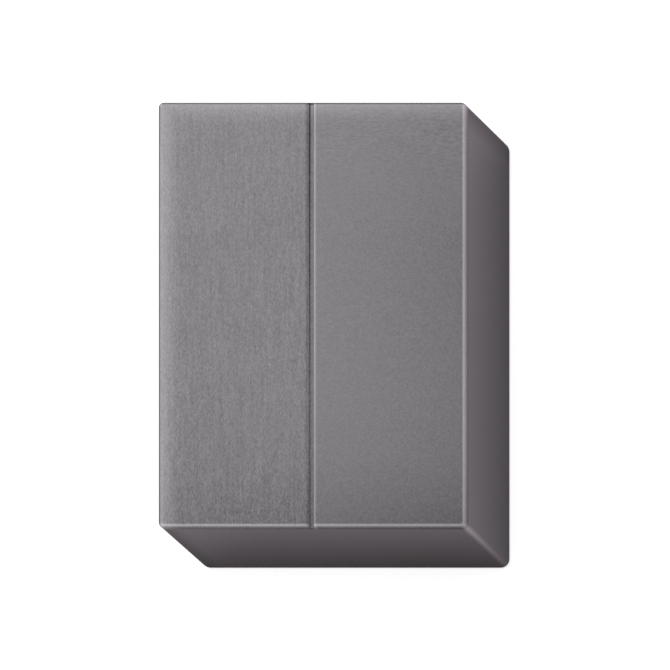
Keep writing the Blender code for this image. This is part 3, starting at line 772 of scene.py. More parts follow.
def make_finishes():
    tones = settings().finish
    stroke_grain_group()
    cloud_group()
    across, along, foil_run = (1.0, 0.08, 1.0), (0.08, 1.0, 1.0), (0.05, 1.0, 1.0)
    FINISHES["can_metal"] = can_finish(tones.can)
    FINISHES["terminal_metal"] = machined_finish(tones.terminal)
    FINISHES["wound_electrodes"] = winding_finish(tones.separator)
    FINISHES["weld_metal"] = weld_finish(tones.cover)
    for slot, finish, *looks in (
        ("cover_metal", "cover_rolled_metal", tones.cover, 0.34, along, 1600.0, 0.45, 0.25),
        ("conductor_aluminium", "conductor_aluminium", tones.aluminium, 0.35, across, 1500.0),
        ("conductor_copper", "conductor_copper", tones.copper, 0.35, across, 1500.0),
        ("vent_foil", "vent_thin_metal", tones.aluminium, 0.28, along, 2600.0, 0.1, 0.1),
        ("foil_aluminium", "gathered_aluminium_foil", tones.aluminium, 0.3, foil_run, 2600.0),
        ("foil_copper", "gathered_copper_foil", tones.copper, 0.3, foil_run, 2600.0),
    ):
        FINISHES[slot] = metal_finish(finish, *looks)
    for slot, finish, tone, roughness in (
        ("black_plastic", "moulded_black_plastic", tones.black, 0.5),
        ("tray_plastic", "moulded_tray_plastic", tones.tray, 0.5),
        ("seal_rubber", "seal_rubber", tones.rubber, 0.7),
    ):
        FINISHES[slot] = moulded_finish(finish, tone, roughness)
    for slot, finish, tone, roughness, opacity in (
        ("clear_film", "vent_guard_film", tones.film, 0.15, 0.35),
        ("sleeve_film", "sleeve_film", tones.sleeve, 0.3, 0.7),
        ("binding_tape", "binding_tape", tones.tape, 0.3, 1.0),
    ):
        FINISHES[slot] = film_finish(finish, tone, roughness, opacity)


# Pieces

def body_outline(name, z, corner):
    """Rounded rectangle at one level of the body, as a filled face."""
    deselect_all()
    centre = (MIDDLE.x, MIDDLE.y, z)
    bpy.ops.mesh.primitive_plane_add(size=1, location=centre)
    bpy.ops.transform.resize(value=(2 * HALF_WIDTH, Y_END - Y_BASE, 1), center_override=centre)
    piece = bpy.context.object
    piece.name = name
    settle(piece)
    with editing(piece):
        bpy.ops.mesh.select_mode(type="VERT")
        bpy.ops.mesh.select_all(action="SELECT")
        bevel(corner, 10, "VERTICES")
    return piece


def bead_stations(sizes):
    """Across the width: each place where the bead's section bends, and how deep it is there."""
    floor, wall = sizes.bead_floor, sizes.bead_floor + sizes.bead_wall
    stations = [(0.0, sizes.bead_depth)]
    steps = 6
    for side, run in ((-1, sizes.left_shoulder), (1, sizes.right_shoulder)):
        stations.append((side * floor, sizes.bead_depth))
        stations.append((side * (floor + sizes.bead_wall * 0.15), sizes.bead_depth * 0.92))
        for i in range(steps + 1):
            part = i / steps
            stations.append((side * (wall + run * part), sizes.shoulder_drop * (1 - part) ** 2))
    return [(x - sizes.bead_offset, drop) for x, drop in stations]


def press_bead(piece, stations):
    """Cut a line along the wide face at each station, and flatten it down to its depth."""
    with editing(piece):
        for x, drop in stations:
            bpy.ops.mesh.select_all(action="SELECT")
            bpy.ops.mesh.bisect(plane_co=(x, 0, 0), plane_no=(1, 0, 0))
        for x, drop in stations:
            level = FRONT - drop
            choose(piece, "verts", lambda vert: abs(vert.co.x - x) < TINY and vert.co.z > level)
            bpy.ops.transform.resize(value=(1, 1, 0), center_override=(x, MIDDLE.y, level))


class CELL_OT_can(bpy.types.Operator):
    """Drawn can: rounded body, pressed bead, and a mouth with a turned-in lip"""
    bl_idname = "cell.can"
    bl_label = "Can"

    def execute(self, context):
        sizes = settings().can
        back = body_outline("back_outline", CAN_LOW.z, sizes.back_corner)
        front = body_outline("front_outline", CAN_HIGH.z, sizes.front_corner)
        shell = join([back, front], "can_shell")
        with editing(shell):
            bpy.ops.mesh.select_all(action="SELECT")
            bpy.ops.mesh.delete(type="ONLY_FACE")
            bpy.ops.mesh.select_all(action="SELECT")
            bpy.ops.mesh.bridge_edge_loops()
            for z in (CAN_LOW.z, CAN_HIGH.z):
                choose(shell, "edges", lies_at(2, z))
                bpy.ops.mesh.edge_face_add()
            bpy.ops.mesh.select_all(action="SELECT")
            bpy.ops.mesh.normals_make_consistent(inside=False)
            rims = [lies_at(2, CAN_LOW.z), lies_at(2, CAN_HIGH.z)]
            choose(shell, "edges", lambda edge: any(test(edge) for test in rims))
            bevel(sizes.edge_radius, 8)
        press_bead(shell, bead_stations(sizes))
        apply_modifier(shell, "SOLIDIFY", thickness=sizes.wall, offset=-1.0)
        mouth_low = Vector((COVER_LOW.x - GAP, Y_END - 2 * sizes.wall, COVER_LOW.z - GAP))
        mouth_high = Vector((COVER_HIGH.x + GAP, Y_END + sizes.wall, COVER_HIGH.z + GAP))
        mouth = plate("mouth_cutter", mouth_low, mouth_high, settings().cover.corner + GAP)
        cut(shell, mouth)
        smooth(shell, 30.0)
        hand_over(shell, "can_metal", "can")
        return {"FINISHED"}


class CELL_OT_cover(bpy.types.Operator):
    """Cover plate with terminal pockets, post holes, vent seat, fill seat and stamped polarity marks"""
    bl_idname = "cell.cover"
    bl_label = "Cover plate"

    def execute(self, context):
        sizes = settings().cover
        over, under = Y_END + GAP, COVER_LOW.y - GAP
        cover = plate("cover", COVER_LOW, COVER_HIGH, sizes.corner, 10)
        for side, pole in ((-1, "positive"), (1, "negative")):
            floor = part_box(f"{pole}_upper_insulator")[0].y - GAP
            pocket = hollow(f"{pole}_upper_insulator", GAP, floor, over)
            cut(cover, plate("pocket_cutter", *pocket, sizes.corner))
            post = centre_of(f"{pole}_post")
            cut(cover, disc("post_hole_cutter", (post.x, post.z), sizes.post_hole, under, over))
            bars = [(sizes.mark, sizes.mark_width)]
            if pole == "positive":
                bars.append((sizes.mark_width, sizes.mark))
            for across, through in bars:
                half = Vector((across / 2, 0, through / 2))
                middle = Vector((side * sizes.mark_place, Y_END, MIDDLE.z))
                low = middle - half - Vector((0, sizes.mark_depth, 0))
                cut(cover, block("mark_cutter", low, middle + half + Vector((0, GAP, 0))))
        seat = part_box("vent_disc")[0].y - GAP
        cut(cover, stadium("vent_seat_cutter", *hollow("vent_disc", GAP, seat, over)))
        cut(cover, stadium("vent_opening_cutter", *hollow("vent_disc", -sizes.vent_ledge, under, over)))
        cap_low, cap_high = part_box("fill_cap")
        cap = centre_of("fill_cap")
        seat_radius = (cap_high.x - cap_low.x) / 2 + GAP
        cut(cover, disc("fill_seat_cutter", (cap.x, cap.z), seat_radius, cap_low.y - GAP, over))
        cut(cover, disc("fill_hole_cutter", (cap.x, cap.z), sizes.fill_hole, under, over))
        soften(cover, sizes.edge * 0.8)
        smooth(cover)
        hand_over(cover, "cover_metal", "cover_plate")
        return {"FINISHED"}


class CELL_OT_cover_weld(bpy.types.Operator):
    """Laser-welded seam that joins the cover to the can's lip"""
    bl_idname = "cell.cover_weld"
    bl_label = "Cover weld"

    def execute(self, context):
        sizes = settings().cover
        reach = sizes.weld_width / 2 + GAP / 2
        low = Vector((COVER_LOW.x - reach, Y_END - GAP, COVER_LOW.z - reach))
        high = Vector((COVER_HIGH.x + reach, Y_END, COVER_HIGH.z + reach))
        seam = plate("cover_weld_seam", low, high, sizes.corner + reach, 10)
        quarter = sizes.weld_width / 4
        with editing(seam):
            choose(seam, "faces", lies_at(1, high.y))
            for rise in (0.75, 0.25, -0.25, -0.75):
                bpy.ops.mesh.inset(thickness=quarter, depth=rise * sizes.weld_rise)
            bpy.ops.mesh.delete(type="FACE")
            choose(seam, "faces", lies_at(1, low.y))
            bpy.ops.mesh.inset(thickness=sizes.weld_width)
            bpy.ops.mesh.delete(type="FACE")
            choose(seam, "edges", lambda edge: edge.is_boundary)
            bpy.ops.mesh.bridge_edge_loops()
            bpy.ops.mesh.select_all(action="SELECT")
            bpy.ops.mesh.normals_make_consistent(inside=False)
        smooth(seam, 40.0)
        hand_over(seam, "cover_metal", finish="weld_metal")
        return {"FINISHED"}


class CELL_OT_vent(bpy.types.Operator):
    """Scored burst disc in the vent seat, and the clear guard film over it"""
    bl_idname = "cell.vent"
    bl_label = "Vent"

    def execute(self, context):
        low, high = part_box("vent_disc")
        middle = (low + high) / 2
        vent = stadium("scored_vent_disc", low, high)
        sizes = settings().cover
        score, depth, fork = sizes.score_width, sizes.score_depth, sizes.score_arm
        with editing(vent):
            choose(vent, "faces", lies_at(1, high.y))
            bpy.ops.mesh.inset(thickness=sizes.score_inset)
            for inwards, rise in ((score, -depth), (score, 0.0), (score, depth)):
                bpy.ops.mesh.inset(thickness=inwards, depth=rise)
        arm = high.x - middle.x - sizes.score_end
        forks = ((40, arm), (-40, arm), (140, -arm), (-140, -arm))
        lines = [(0, -arm, arm, 0.0)]
        lines += [(turn, 0.0, fork, place) for turn, place in forks]
        for turn, start, end, place in lines:
            line = block("score_cutter", (start, high.y - depth, middle.z - score / 2),
                         (end, high.y + GAP, middle.z + score / 2))
            bpy.ops.transform.rotate(value=math.radians(turn), orient_axis="Y",
                                     center_override=(0, high.y, middle.z))
            bpy.ops.transform.translate(value=(middle.x + place, 0, 0))
            settle(line)
            cut(vent, line)
        smooth(vent)
        hand_over(vent, "vent_foil", "vent_disc")
        film = stadium("vent_film", *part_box("vent_guard_film"), rim=0.0001)
        smooth(film)
        hand_over(film, "clear_film", "vent_guard_film")
        return {"FINISHED"}


class CELL_OT_fill_port(bpy.types.Operator):
    """Rubber plug in the fill hole, and the welded cap over it"""
    bl_idname = "cell.fill_port"
    bl_label = "Fill port"

    def execute(self, context):
        edge = settings().cover.edge
        low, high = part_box("fill_plug")
        middle, radius = (low + high) / 2, (high.x - low.x) / 2
        profile = [(radius * 0.7, low.y), (radius, low.y + 0.0005), (radius * 0.92, middle.y),
                   (radius, high.y - 0.0002), (radius * 0.85, high.y)]
        plug = turned("tapered_fill_plug", middle.x, profile)
        smooth(plug, 50.0)
        hand_over(plug, "seal_rubber", "fill_plug")
        low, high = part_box("fill_cap")
        middle, radius = (low + high) / 2, (high.x - low.x) / 2
        profile = [(radius, low.y), (radius, high.y), (radius * 0.82, high.y), (radius * 0.76, high.y - edge),
                   (radius * 0.34, high.y - edge), (radius * 0.24, high.y - 2.5 * edge),
                   (radius * 0.04, high.y - 3 * edge)]
        cap = turned("dimpled_fill_cap", middle.x, profile)
        soften(cap, edge * 0.5)
        smooth(cap)
        hand_over(cap, "cover_metal", "fill_cap")
        rise = settings().cover.weld_rise
        outer, inner = radius + 1.4 * GAP, radius - 1.4 * GAP
        profile = [(outer, high.y - GAP), (outer, high.y), (radius + 0.6 * GAP, high.y + rise * 0.8),
                   (radius - 0.6 * GAP, high.y + rise * 0.8), (inner, high.y), (inner, high.y - GAP)]
        weld = turned("fill_cap_weld", middle.x, profile, closed=True)
        smooth(weld, 50.0)
        hand_over(weld, "cover_metal", finish="weld_metal")
        return {"FINISHED"}


class CELL_OT_terminal_pads(bpy.types.Operator):
    """Flat weld pads with a turned recess and a weld ring round each post"""
    bl_idname = "cell.terminal_pads"
    bl_label = "Terminal pads"

    def execute(self, context):
        sizes = settings().terminal
        low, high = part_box("positive_terminal_pad")
        middle = (low + high) / 2
        centre = (middle.x, middle.z)
        pad = plate("positive_pad", low, high, sizes.corner, 10, sizes.rim, 4)
        recess_floor = high.y - sizes.counterbore_depth
        cut(pad, disc("recess_cutter", centre, sizes.counterbore, recess_floor, high.y + GAP, 72))
        cut(pad, disc("hole_cutter", centre, sizes.spigot + GAP, low.y - GAP, high.y + GAP))
        smooth(pad)
        crest = high.y + sizes.counterbore_depth
        inner, outer = sizes.spigot - 1.5 * GAP, sizes.spigot + 2.5 * GAP
        profile = [(outer, recess_floor - GAP), (outer, recess_floor), (outer - GAP, crest),
                   (inner + GAP, crest), (inner, recess_floor), (inner, recess_floor - GAP)]
        weld = turned("positive_post_weld", middle.x, profile, closed=True, vertices=72)
        smooth(weld, 50.0)
        across = (centre_of("negative_terminal_pad").x - middle.x, 0, 0)
        pads = (pad, copy_of(pad, "negative_pad", across))
        welds = (weld, copy_of(weld, "negative_post_weld", across))
        for pole, pad, weld in zip(POLES, pads, welds):
            hand_over(pad, "terminal_metal", f"{pole}_terminal_pad")
            hand_over(weld, "terminal_metal", finish="weld_metal")
        return {"FINISHED"}


class CELL_OT_insulators(bpy.types.Operator):
    """Moulded insulators: a rimmed tray under each pad, and a plate under each half of the cover"""
    bl_idname = "cell.insulators"
    bl_label = "Insulators"

    def execute(self, context):
        sizes = settings().terminal
        edge = settings().cover.edge
        low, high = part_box("positive_upper_insulator")
        middle = (low + high) / 2
        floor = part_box("positive_terminal_pad")[0].y - GAP
        upper = plate("positive_pad_tray", low, high, sizes.corner, 10)
        inside = hollow("positive_terminal_pad", GAP, floor, high.y + GAP)
        cut(upper, plate("tray_cutter", *inside, sizes.corner - 2 * GAP))
        cut(upper, disc("hole_cutter", (middle.x, middle.z), sizes.shank + GAP, low.y - GAP, high.y + GAP))
        soften(upper, edge)
        smooth(upper)
        across = (centre_of("negative_upper_insulator").x - middle.x, 0, 0)
        uppers = (upper, copy_of(upper, "negative_pad_tray", across))

        low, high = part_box("positive_lower_insulator")
        post = centre_of("positive_post")
        seal_low, seal_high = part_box("positive_seal")
        seat_radius = (seal_high.x - seal_low.x) / 2 + GAP
        lower = plate("positive_cover_insulator", low, high, sizes.corner, 10)
        cut(lower, disc("seat_cutter", (post.x, post.z), seat_radius, seal_low.y - GAP, high.y + GAP))
        cut(lower, disc("hole_cutter", (post.x, post.z), sizes.shank + GAP, low.y - GAP, high.y + GAP))
        fill = centre_of("fill_plug")
        fill_radius = settings().cover.fill_hole + GAP
        cut(lower, disc("fill_way_cutter", (-fill.x, fill.z), fill_radius, low.y - GAP, high.y + GAP))
        rib, ceiling = sizes.rib, low.y + sizes.web
        runs = ((low.x + rib, post.x - seat_radius - rib), (post.x + seat_radius + rib, -fill.x - 3 * rib))
        for start, end in runs:
            for z_low, z_high in ((low.z + rib, MIDDLE.z - rib / 2), (MIDDLE.z + rib / 2, high.z - rib)):
                pocket_low, pocket_high = (start, low.y - GAP, z_low), (end, ceiling, z_high)
                cut(lower, plate("pocket_cutter", pocket_low, pocket_high, rib / 2, 4))
        soften(lower, edge)
        smooth(lower)
        lowers = (lower, copy_of(lower, "negative_cover_insulator", half_turn=True))
        for pole, upper, lower in zip(POLES, uppers, lowers):
            hand_over(upper, "black_plastic", f"{pole}_upper_insulator")
            hand_over(lower, "black_plastic", f"{pole}_lower_insulator")
        return {"FINISHED"}


class CELL_OT_posts(bpy.types.Operator):
    """Turned terminal posts and the rubber seals round them"""
    bl_idname = "cell.posts"
    bl_label = "Posts and seals"

    def execute(self, context):
        sizes = settings().terminal
        edge = settings().cover.edge
        low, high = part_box("positive_post")
        flange = (high.x - low.x) / 2
        centre = (low.x + high.x) / 2
        flange_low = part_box("positive_collector")[1].y + GAP
        flange_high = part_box("positive_lower_insulator")[0].y - GAP
        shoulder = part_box("positive_terminal_pad")[0].y - GAP
        profile = [(sizes.tail, low.y), (sizes.tail, flange_low), (flange, flange_low), (flange, flange_high),
                   (sizes.shank, flange_high), (sizes.shank, shoulder), (sizes.spigot, shoulder),
                   (sizes.spigot, high.y - edge), (sizes.spigot * 0.55, high.y - edge),
                   (sizes.spigot * 0.4, high.y)]
        post = turned("positive_turned_post", centre, profile)
        soften(post, edge)
        smooth(post)
        seal_low, seal_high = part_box("positive_seal")
        seal_flange = (seal_high.x - seal_low.x) / 2
        flange_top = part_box("positive_lower_insulator")[1].y
        inner = sizes.shank + GAP
        outer = inner + sizes.seal_wall
        lip = edge * 1.5
        profile = [(inner, seal_low.y), (seal_flange, seal_low.y), (seal_flange, flange_top),
                   (outer + 4 * lip, flange_top), (outer + 3 * lip, flange_top - lip),
                   (outer + lip, flange_top - lip), (outer, flange_top + lip), (outer, seal_high.y),
                   (inner, seal_high.y)]
        seal = turned("positive_flanged_seal", centre, profile, closed=True)
        soften(seal, edge * 0.7)
        smooth(seal)
        across = (centre_of("negative_post").x - centre, 0, 0)
        posts = (post, copy_of(post, "negative_turned_post", across))
        seals = (seal, copy_of(seal, "negative_flanged_seal", across))
        for pole, metal, post, seal in zip(POLES, METALS, posts, seals):
            hand_over(post, f"conductor_{metal}", f"{pole}_post")
            hand_over(seal, "seal_rubber", f"{pole}_seal")
        return {"FINISHED"}


class CELL_OT_collectors(bpy.types.Operator):
    """Collectors with a foot round each post, and the weld plates with the welding horn's imprint"""
    bl_idname = "cell.collectors"
    bl_label = "Collectors"

    def execute(self, context):
        low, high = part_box("positive_collector")
        post = centre_of("positive_post")
        sizes = settings().inside
        tail = settings().terminal.tail
        arm_low = MIDDLE.z + tail + GAP
        arm = plate("positive_collector_bar", (low.x, low.y, arm_low), high, sizes.bar_corner, 6)
        foot_low = (post.x - sizes.foot, low.y, low.z)
        foot_high = (post.x + sizes.foot, high.y, high.z - sizes.foot_step)
        union(arm, plate("foot", foot_low, foot_high, sizes.bar_corner, 6))
        cut(arm, disc("tail_cutter", (post.x, post.z), tail + GAP, low.y - GAP, high.y + GAP))
        soften(arm, 0.0002)
        smooth(arm)
        ring_high = low.y + GAP
        profile = [(tail - GAP, low.y - GAP), (tail + 3 * GAP, low.y - GAP * 0.2),
                   (tail + 3 * GAP, ring_high), (tail - GAP, ring_high)]
        weld = turned("positive_tail_weld", post.x, profile, closed=True)
        soften(weld, 0.0001)
        smooth(weld, 50.0)
        bars = (arm, copy_of(arm, "negative_collector_bar", half_turn=True))
        welds = (weld, copy_of(weld, "negative_tail_weld", half_turn=True))
        for pole, metal, bar, weld in zip(POLES, METALS, bars, welds):
            hand_over(bar, f"conductor_{metal}", f"{pole}_collector")
            hand_over(weld, f"conductor_{metal}")

        low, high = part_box("left_positive_weld_plate")
        first = block("left_positive_horn_plate", low, high)
        with editing(first):
            choose(first, "faces", lies_at(1, low.y))
            bpy.ops.mesh.inset(thickness=sizes.horn_border)
            bpy.ops.mesh.subdivide(number_cuts=sizes.horn_cuts)
            bpy.ops.mesh.inset(use_individual=True, thickness=sizes.horn_wall, depth=-sizes.horn_depth)
        smooth(first)
        horns = {"left_positive": first}
        for key, half_turn in (("right_positive", False), ("left_negative", True), ("right_negative", True)):
            twin = copy_of(first, f"{key}_horn_plate", half_turn=half_turn)
            start = centre_of("left_positive_weld_plate").x * (-1 if half_turn else 1)
            take_up(twin)
            bpy.ops.transform.translate(value=(centre_of(f"{key}_weld_plate").x - start, 0, 0))
            settle(twin)
            horns[key] = twin
        for key, horn in horns.items():
            metal = METALS[POLES.index(key.split("_")[1])]
            hand_over(horn, f"conductor_{metal}", f"{key}_weld_plate")
        return {"FINISHED"}


def rounded_way(points, steps=4):
    """Smooth way through points in a plane."""
    points = [Vector(point) for point in points]
    ends = [2 * points[0] - points[1], *points, 2 * points[-1] - points[-2]]
    way = []
    for before, start, end, after in zip(ends, ends[1:], ends[2:], ends[3:]):
        for i in range(steps):
            t = i / steps
            square = 2 * before - 5 * start + 4 * end - after
            cube = 3 * start - before - 3 * end + after
            way.append(0.5 * (2 * start + (end - before) * t + square * t ** 2 + cube * t ** 3))
    return [*way, points[-1]]


def foil_tab(name, node, way, sizes):
    """Stack of foils that fan out of a roll and lie flat on each other after the bend."""
    low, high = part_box(node)
    foils = []
    count = sizes.foils
    for number in range(count):
        offset = 2 * number / (count - 1) - 1
        points = []
        for i, (z, y) in enumerate(way):
            before, after = way[max(i - 1, 0)], way[min(i + 1, len(way) - 1)]
            along = (after - before).normalized()
            spread = sizes.fan * max(0.0, 1 - i / 4) ** 1.5
            stacked = offset * sizes.stack
            points.append((z - along.y * stacked + offset * spread, y + along.x * stacked))
        deselect_all()
        bpy.ops.mesh.primitive_plane_add(size=1, location=((low.x + high.x) / 2, points[0][1], points[0][0]))
        bpy.ops.transform.resize(value=(high.x - low.x, 0, 1))
        foil = bpy.context.object
        settle(foil)
        with editing(foil):
            bpy.ops.mesh.select_all(action="SELECT")
            bpy.ops.mesh.remove_doubles(threshold=TINY)
            bpy.ops.mesh.select_mode(type="EDGE")
            bpy.ops.mesh.select_all(action="SELECT")
            for (z, y), (next_z, next_y) in zip(points, points[1:]):
                move = (0, next_y - y, next_z - z)
                bpy.ops.mesh.extrude_region_move(TRANSFORM_OT_translate={"value": move})
        apply_modifier(foil, "SOLIDIFY", thickness=sizes.foil, offset=0.0)
        with editing(foil):
            bpy.ops.mesh.select_all(action="SELECT")
            bpy.ops.mesh.normals_make_consistent(inside=False)
        foils.append(foil)
    return join(foils, name)


class CELL_OT_tabs(bpy.types.Operator):
    """Gathered foil tabs between the rolls and the collectors"""
    bl_idname = "cell.tabs"
    bl_label = "Foil tabs"

    def execute(self, context):
        sizes = settings().inside
        made = {}
        bend = sizes.bend
        for layer, node in (("outer", "left_front_positive_tab"), ("inner", "left_back_positive_tab")):
            low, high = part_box(node)
            level = high.y - bend / 2
            if layer == "outer":
                roll = centre_of("left_front_roll").z
                riser = MIDDLE.z + sizes.riser
                corners = [(roll, low.y), (riser - bend / 2, level - 4 * bend), (riser, level - 2 * bend),
                           (riser - bend / 4, level - bend / 2), (riser - bend, level),
                           (MIDDLE.z + sizes.lap, level)]
            else:
                roll = centre_of("left_back_roll").z
                arm = MIDDLE.z + settings().terminal.tail + GAP
                corners = [(roll, low.y), (roll + 6 * bend, level - 5 * bend),
                           (arm - 2 * bend, level - 2 * bend), (arm - bend / 2, level - bend / 2),
                           (arm + bend / 2, level), (high.z, level)]
            made[layer] = foil_tab(f"{layer}_foils", node, rounded_way(corners), sizes)
            smooth(made[layer], 40.0, weighted=False)
        start = centre_of("left_front_positive_tab").x
        jobs = []
        for pole, metal, order in zip(POLES, METALS, (("front", "back"), ("back", "front"))):
            for column in ("left", "right"):
                for layer, side in zip(("outer", "inner"), order):
                    jobs.append((f"{column}_{side}_{pole}", metal, layer, pole == "negative"))
        for key, metal, layer, half_turn in jobs:
            tab = copy_of(made[layer], f"{key}_foils", half_turn=half_turn)
            take_up(tab)
            moved = centre_of(f"{key}_tab").x - (-start if half_turn else start)
            bpy.ops.transform.translate(value=(moved, 0, 0))
            settle(tab)
            hand_over(tab, f"foil_{metal}", f"{key}_tab")
        for pattern in made.values():
            bpy.data.objects.remove(pattern, do_unlink=True)
        return {"FINISHED"}


class CELL_OT_rolls(bpy.types.Operator):
    """Flat-wound rolls whose ends show their wraps and the mandrel's slot"""
    bl_idname = "cell.rolls"
    bl_label = "Wound rolls"

    def execute(self, context):
        sizes = settings().inside
        low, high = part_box("left_back_roll")
        half = (high.z - low.z) / 2
        step = half * 0.88 / sizes.wraps
        roll = stadium("left_back_winding", low, high)
        for end, outwards in ((low.y, -1), (high.y, 1)):
            with editing(roll):
                choose(roll, "faces", lies_at(1, end))
                for number in range(sizes.wraps):
                    rise = sizes.wrap_step * (-1 if number % 2 == 0 else 1)
                    bpy.ops.mesh.inset(thickness=step * 0.3, depth=rise)
                    bpy.ops.mesh.inset(thickness=step * 0.7)
                bpy.ops.mesh.extrude_region_move(
                    TRANSFORM_OT_translate={"value": (0, -outwards * sizes.slot_depth, 0)})
        smooth(roll)
        middle = centre_of("left_back_roll")
        windings = {"left_back_roll": roll}
        for node in ("left_front_roll", "right_back_roll", "right_front_roll"):
            windings[node] = copy_of(roll, node.replace("roll", "winding"), centre_of(node) - middle)
        for node, winding in windings.items():
            hand_over(winding, "wound_electrodes", node)
        return {"FINISHED"}


class CELL_OT_tray(bpy.types.Operator):
    """Base tray with a row of round holes and lightly rounded edges"""
    bl_idname = "cell.tray"
    bl_label = "Base tray"

    def execute(self, context):
        sizes = settings().inside
        low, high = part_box("base_tray")
        tray = plate("holed_base_tray", low, high, settings().cover.corner, 10)
        reach = high.x - 2 * sizes.tray_hole
        row = int(reach / sizes.tray_pitch)
        for number in range(-row, row + 1):
            centre = (number * sizes.tray_pitch, MIDDLE.z)
            cut(tray, disc("tray_hole_cutter", centre, sizes.tray_hole, low.y - GAP, high.y + GAP, 48))
        soften(tray, settings().cover.edge * 1.5)
        smooth(tray)
        hand_over(tray, "tray_plastic", "base_tray")
        return {"FINISHED"}


class CELL_OT_stage(bpy.types.Operator):
    """Floor, soft studio lights and the camera"""
    bl_idname = "cell.stage"
    bl_label = "Stage"

    def execute(self, context):
        stage = settings().stage
        scene = context.scene
        scene.view_settings.view_transform = "Standard"
        deselect_all()
        bpy.ops.mesh.primitive_plane_add(size=10, location=(0, 0, 0))
        floor = bpy.context.object
        floor.name = "studio_floor"
        material, tree, shader, place = new_material("pale_floor", 0.8, 0.0)
        grain = noise(tree, place, 40.0)
        factor = maths(tree, "MULTIPLY_ADD", grain, 0.02, 0.99)
        seen = add_node(tree, "ShaderNodeLightPath").outputs["Is Camera Ray"]
        bounce = (*(stage.bounce * part for part in (1.0, 0.92, 0.94)), 1.0)
        pale = (stage.floor, stage.floor, stage.floor, 1.0)
        tone = blend_colours(tree, seen, bounce, pale)
        grey = add_node(tree, "ShaderNodeCombineColor", {0: factor, 1: factor, 2: factor}).outputs[0]
        tree.links.new(blend_colours(tree, 1.0, tone, grey, "MULTIPLY"), shader.inputs["Base Color"])
        tree.links.new(maths(tree, "MULTIPLY", seen, stage.lift), shader.inputs["Emission Color"])
        shader.inputs["Emission Strength"].default_value = 1.0
        floor.data.materials.append(material)
        world = bpy.data.worlds.new("studio")
        world.use_nodes = True
        background = world.node_tree.nodes["Background"]
        background.inputs["Color"].default_value = (1.0, 0.99, 1.0, 1.0)
        background.inputs["Strength"].default_value = stage.sky
        scene.world = world
        add_softbox("key_softbox", (-0.325, 0.330, 0.358), 0.26, stage.key)
        add_softbox("top_softbox_far", (0.20, 0.25, 0.50), 0.18, stage.top)
        add_softbox("top_softbox_near", (-0.30, -0.22, 0.50), 0.18, stage.top)
        add_softbox("side_softbox", (-0.50, 0.28, 0.20), 0.18, stage.side)
        add_softbox("far_softbox", (-0.30, 0.50, 0.20), 0.18, stage.side)
        add_camera(stage)
        return {"FINISHED"}


def add_softbox(name, place, size, power):
    bpy.ops.object.light_add(type="AREA", location=place)
    light = bpy.context.object
    light.name = name
    light.data.shape = "SQUARE"
    light.data.size = size
    light.data.energy = power
    light.visible_camera = False
    light.rotation_mode = "QUATERNION"
    light.rotation_quaternion = (-Vector(place)).to_track_quat("-Z", "Y")


def add_camera(stage):
    """Oblique view: the wide face keeps its true shape and the depth leans right and near.

    A leaning frame is a stretch between two turns, so a turned and stretched parent carries a turned camera.
    """
    lean = Vector((stage.lean_right, -stage.lean_near, 1.0))
    axes = np.array([[1.0, 0.0, lean.x], [0.0, 1.0, lean.y], [0.0, 0.0, lean.z]])
    outer, stretch, inner = np.linalg.svd(axes)
    if np.linalg.det(outer) < 0:
        outer[:, 2] *= -1
        inner[2, :] *= -1
    rig = bpy.data.objects.new("leaning_rig", None)
    bpy.context.scene.collection.objects.link(rig)
    target = Vector((stage.aim_right, -stage.aim_near, FRONT))
    rig.location = target + lean * stage.view_rise
    rig.rotation_mode = "QUATERNION"
    rig.rotation_quaternion = Matrix(outer.tolist()).to_quaternion()
    rig.scale = stretch.tolist()
    data = bpy.data.cameras.new("view")
    data.type = "ORTHO"
    data.ortho_scale = stage.view_width
    camera = bpy.data.objects.new("view", data)
    bpy.context.scene.collection.objects.link(camera)
    camera.parent = rig
    camera.rotation_mode = "QUATERNION"
    camera.rotation_quaternion = Matrix(inner.tolist()).to_quaternion()
    bpy.context.scene.camera = camera


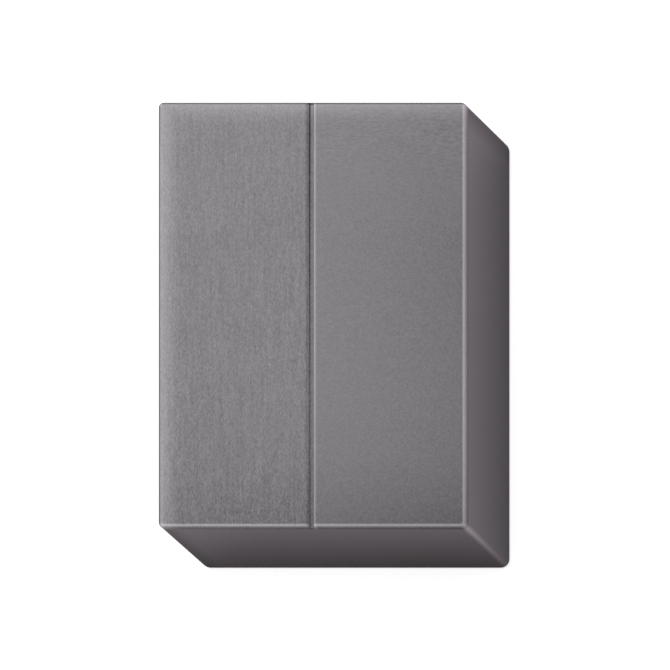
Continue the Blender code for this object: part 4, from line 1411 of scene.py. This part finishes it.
class CELL_OT_carried_nodes(bpy.types.Operator):
    """Gives every piece that stays as it was designed the finish of its material slot"""
    bl_idname = "cell.carried_nodes"
    bl_label = "Finish carried pieces"

    def execute(self, context):
        slots = {part["node"]: part["material_slot"] for part in frame["record"]["subparts"]}
        for name, node in frame["nodes"].items():
            node.data.materials.clear()
            node.data.materials.append(FINISHES[slots[name]])
        return {"FINISHED"}


class CELL_PG_cell(bpy.types.PropertyGroup):
    can: PointerProperty(type=CELL_PG_can)
    cover: PointerProperty(type=CELL_PG_cover)
    terminal: PointerProperty(type=CELL_PG_terminal)
    inside: PointerProperty(type=CELL_PG_inside)
    finish: PointerProperty(type=CELL_PG_finish)
    stage: PointerProperty(type=CELL_PG_stage)


OPERATORS = (
    CELL_OT_carried_nodes,
    CELL_OT_can,
    CELL_OT_cover,
    CELL_OT_cover_weld,
    CELL_OT_vent,
    CELL_OT_fill_port,
    CELL_OT_terminal_pads,
    CELL_OT_insulators,
    CELL_OT_posts,
    CELL_OT_collectors,
    CELL_OT_tabs,
    CELL_OT_rolls,
    CELL_OT_tray,
    CELL_OT_stage,
)


class CELL_PT_panel(bpy.types.Panel):
    """Sizes, finishes and the operators, in building order"""
    bl_label = "Prismatic cell"
    bl_idname = "CELL_PT_panel"
    bl_space_type = "VIEW_3D"
    bl_region_type = "UI"
    bl_category = "Cell"

    def draw(self, context):
        layout = self.layout
        cell = context.scene.cell
        for group in (cell.can, cell.cover, cell.terminal, cell.inside, cell.finish, cell.stage):
            column = layout.box().column()
            for name in group.__annotations__:
                column.prop(group, name)
        for operator in OPERATORS:
            layout.operator(operator.bl_idname)


GROUPS = (
    CELL_PG_can,
    CELL_PG_cover,
    CELL_PG_terminal,
    CELL_PG_inside,
    CELL_PG_finish,
    CELL_PG_stage,
    CELL_PG_cell,
)
CLASSES = GROUPS + OPERATORS + (CELL_PT_panel,)


def register():
    for item in CLASSES:
        bpy.utils.register_class(item)
    bpy.types.Scene.cell = PointerProperty(type=CELL_PG_cell)


def unregister():
    del bpy.types.Scene.cell
    for item in reversed(CLASSES):
        bpy.utils.unregister_class(item)


def main():
    register()
    make_finishes()
    for operator in OPERATORS:
        group, name = operator.bl_idname.split(".")
        getattr(getattr(bpy.ops, group), name)()


if __name__ == "__main__":
    main()
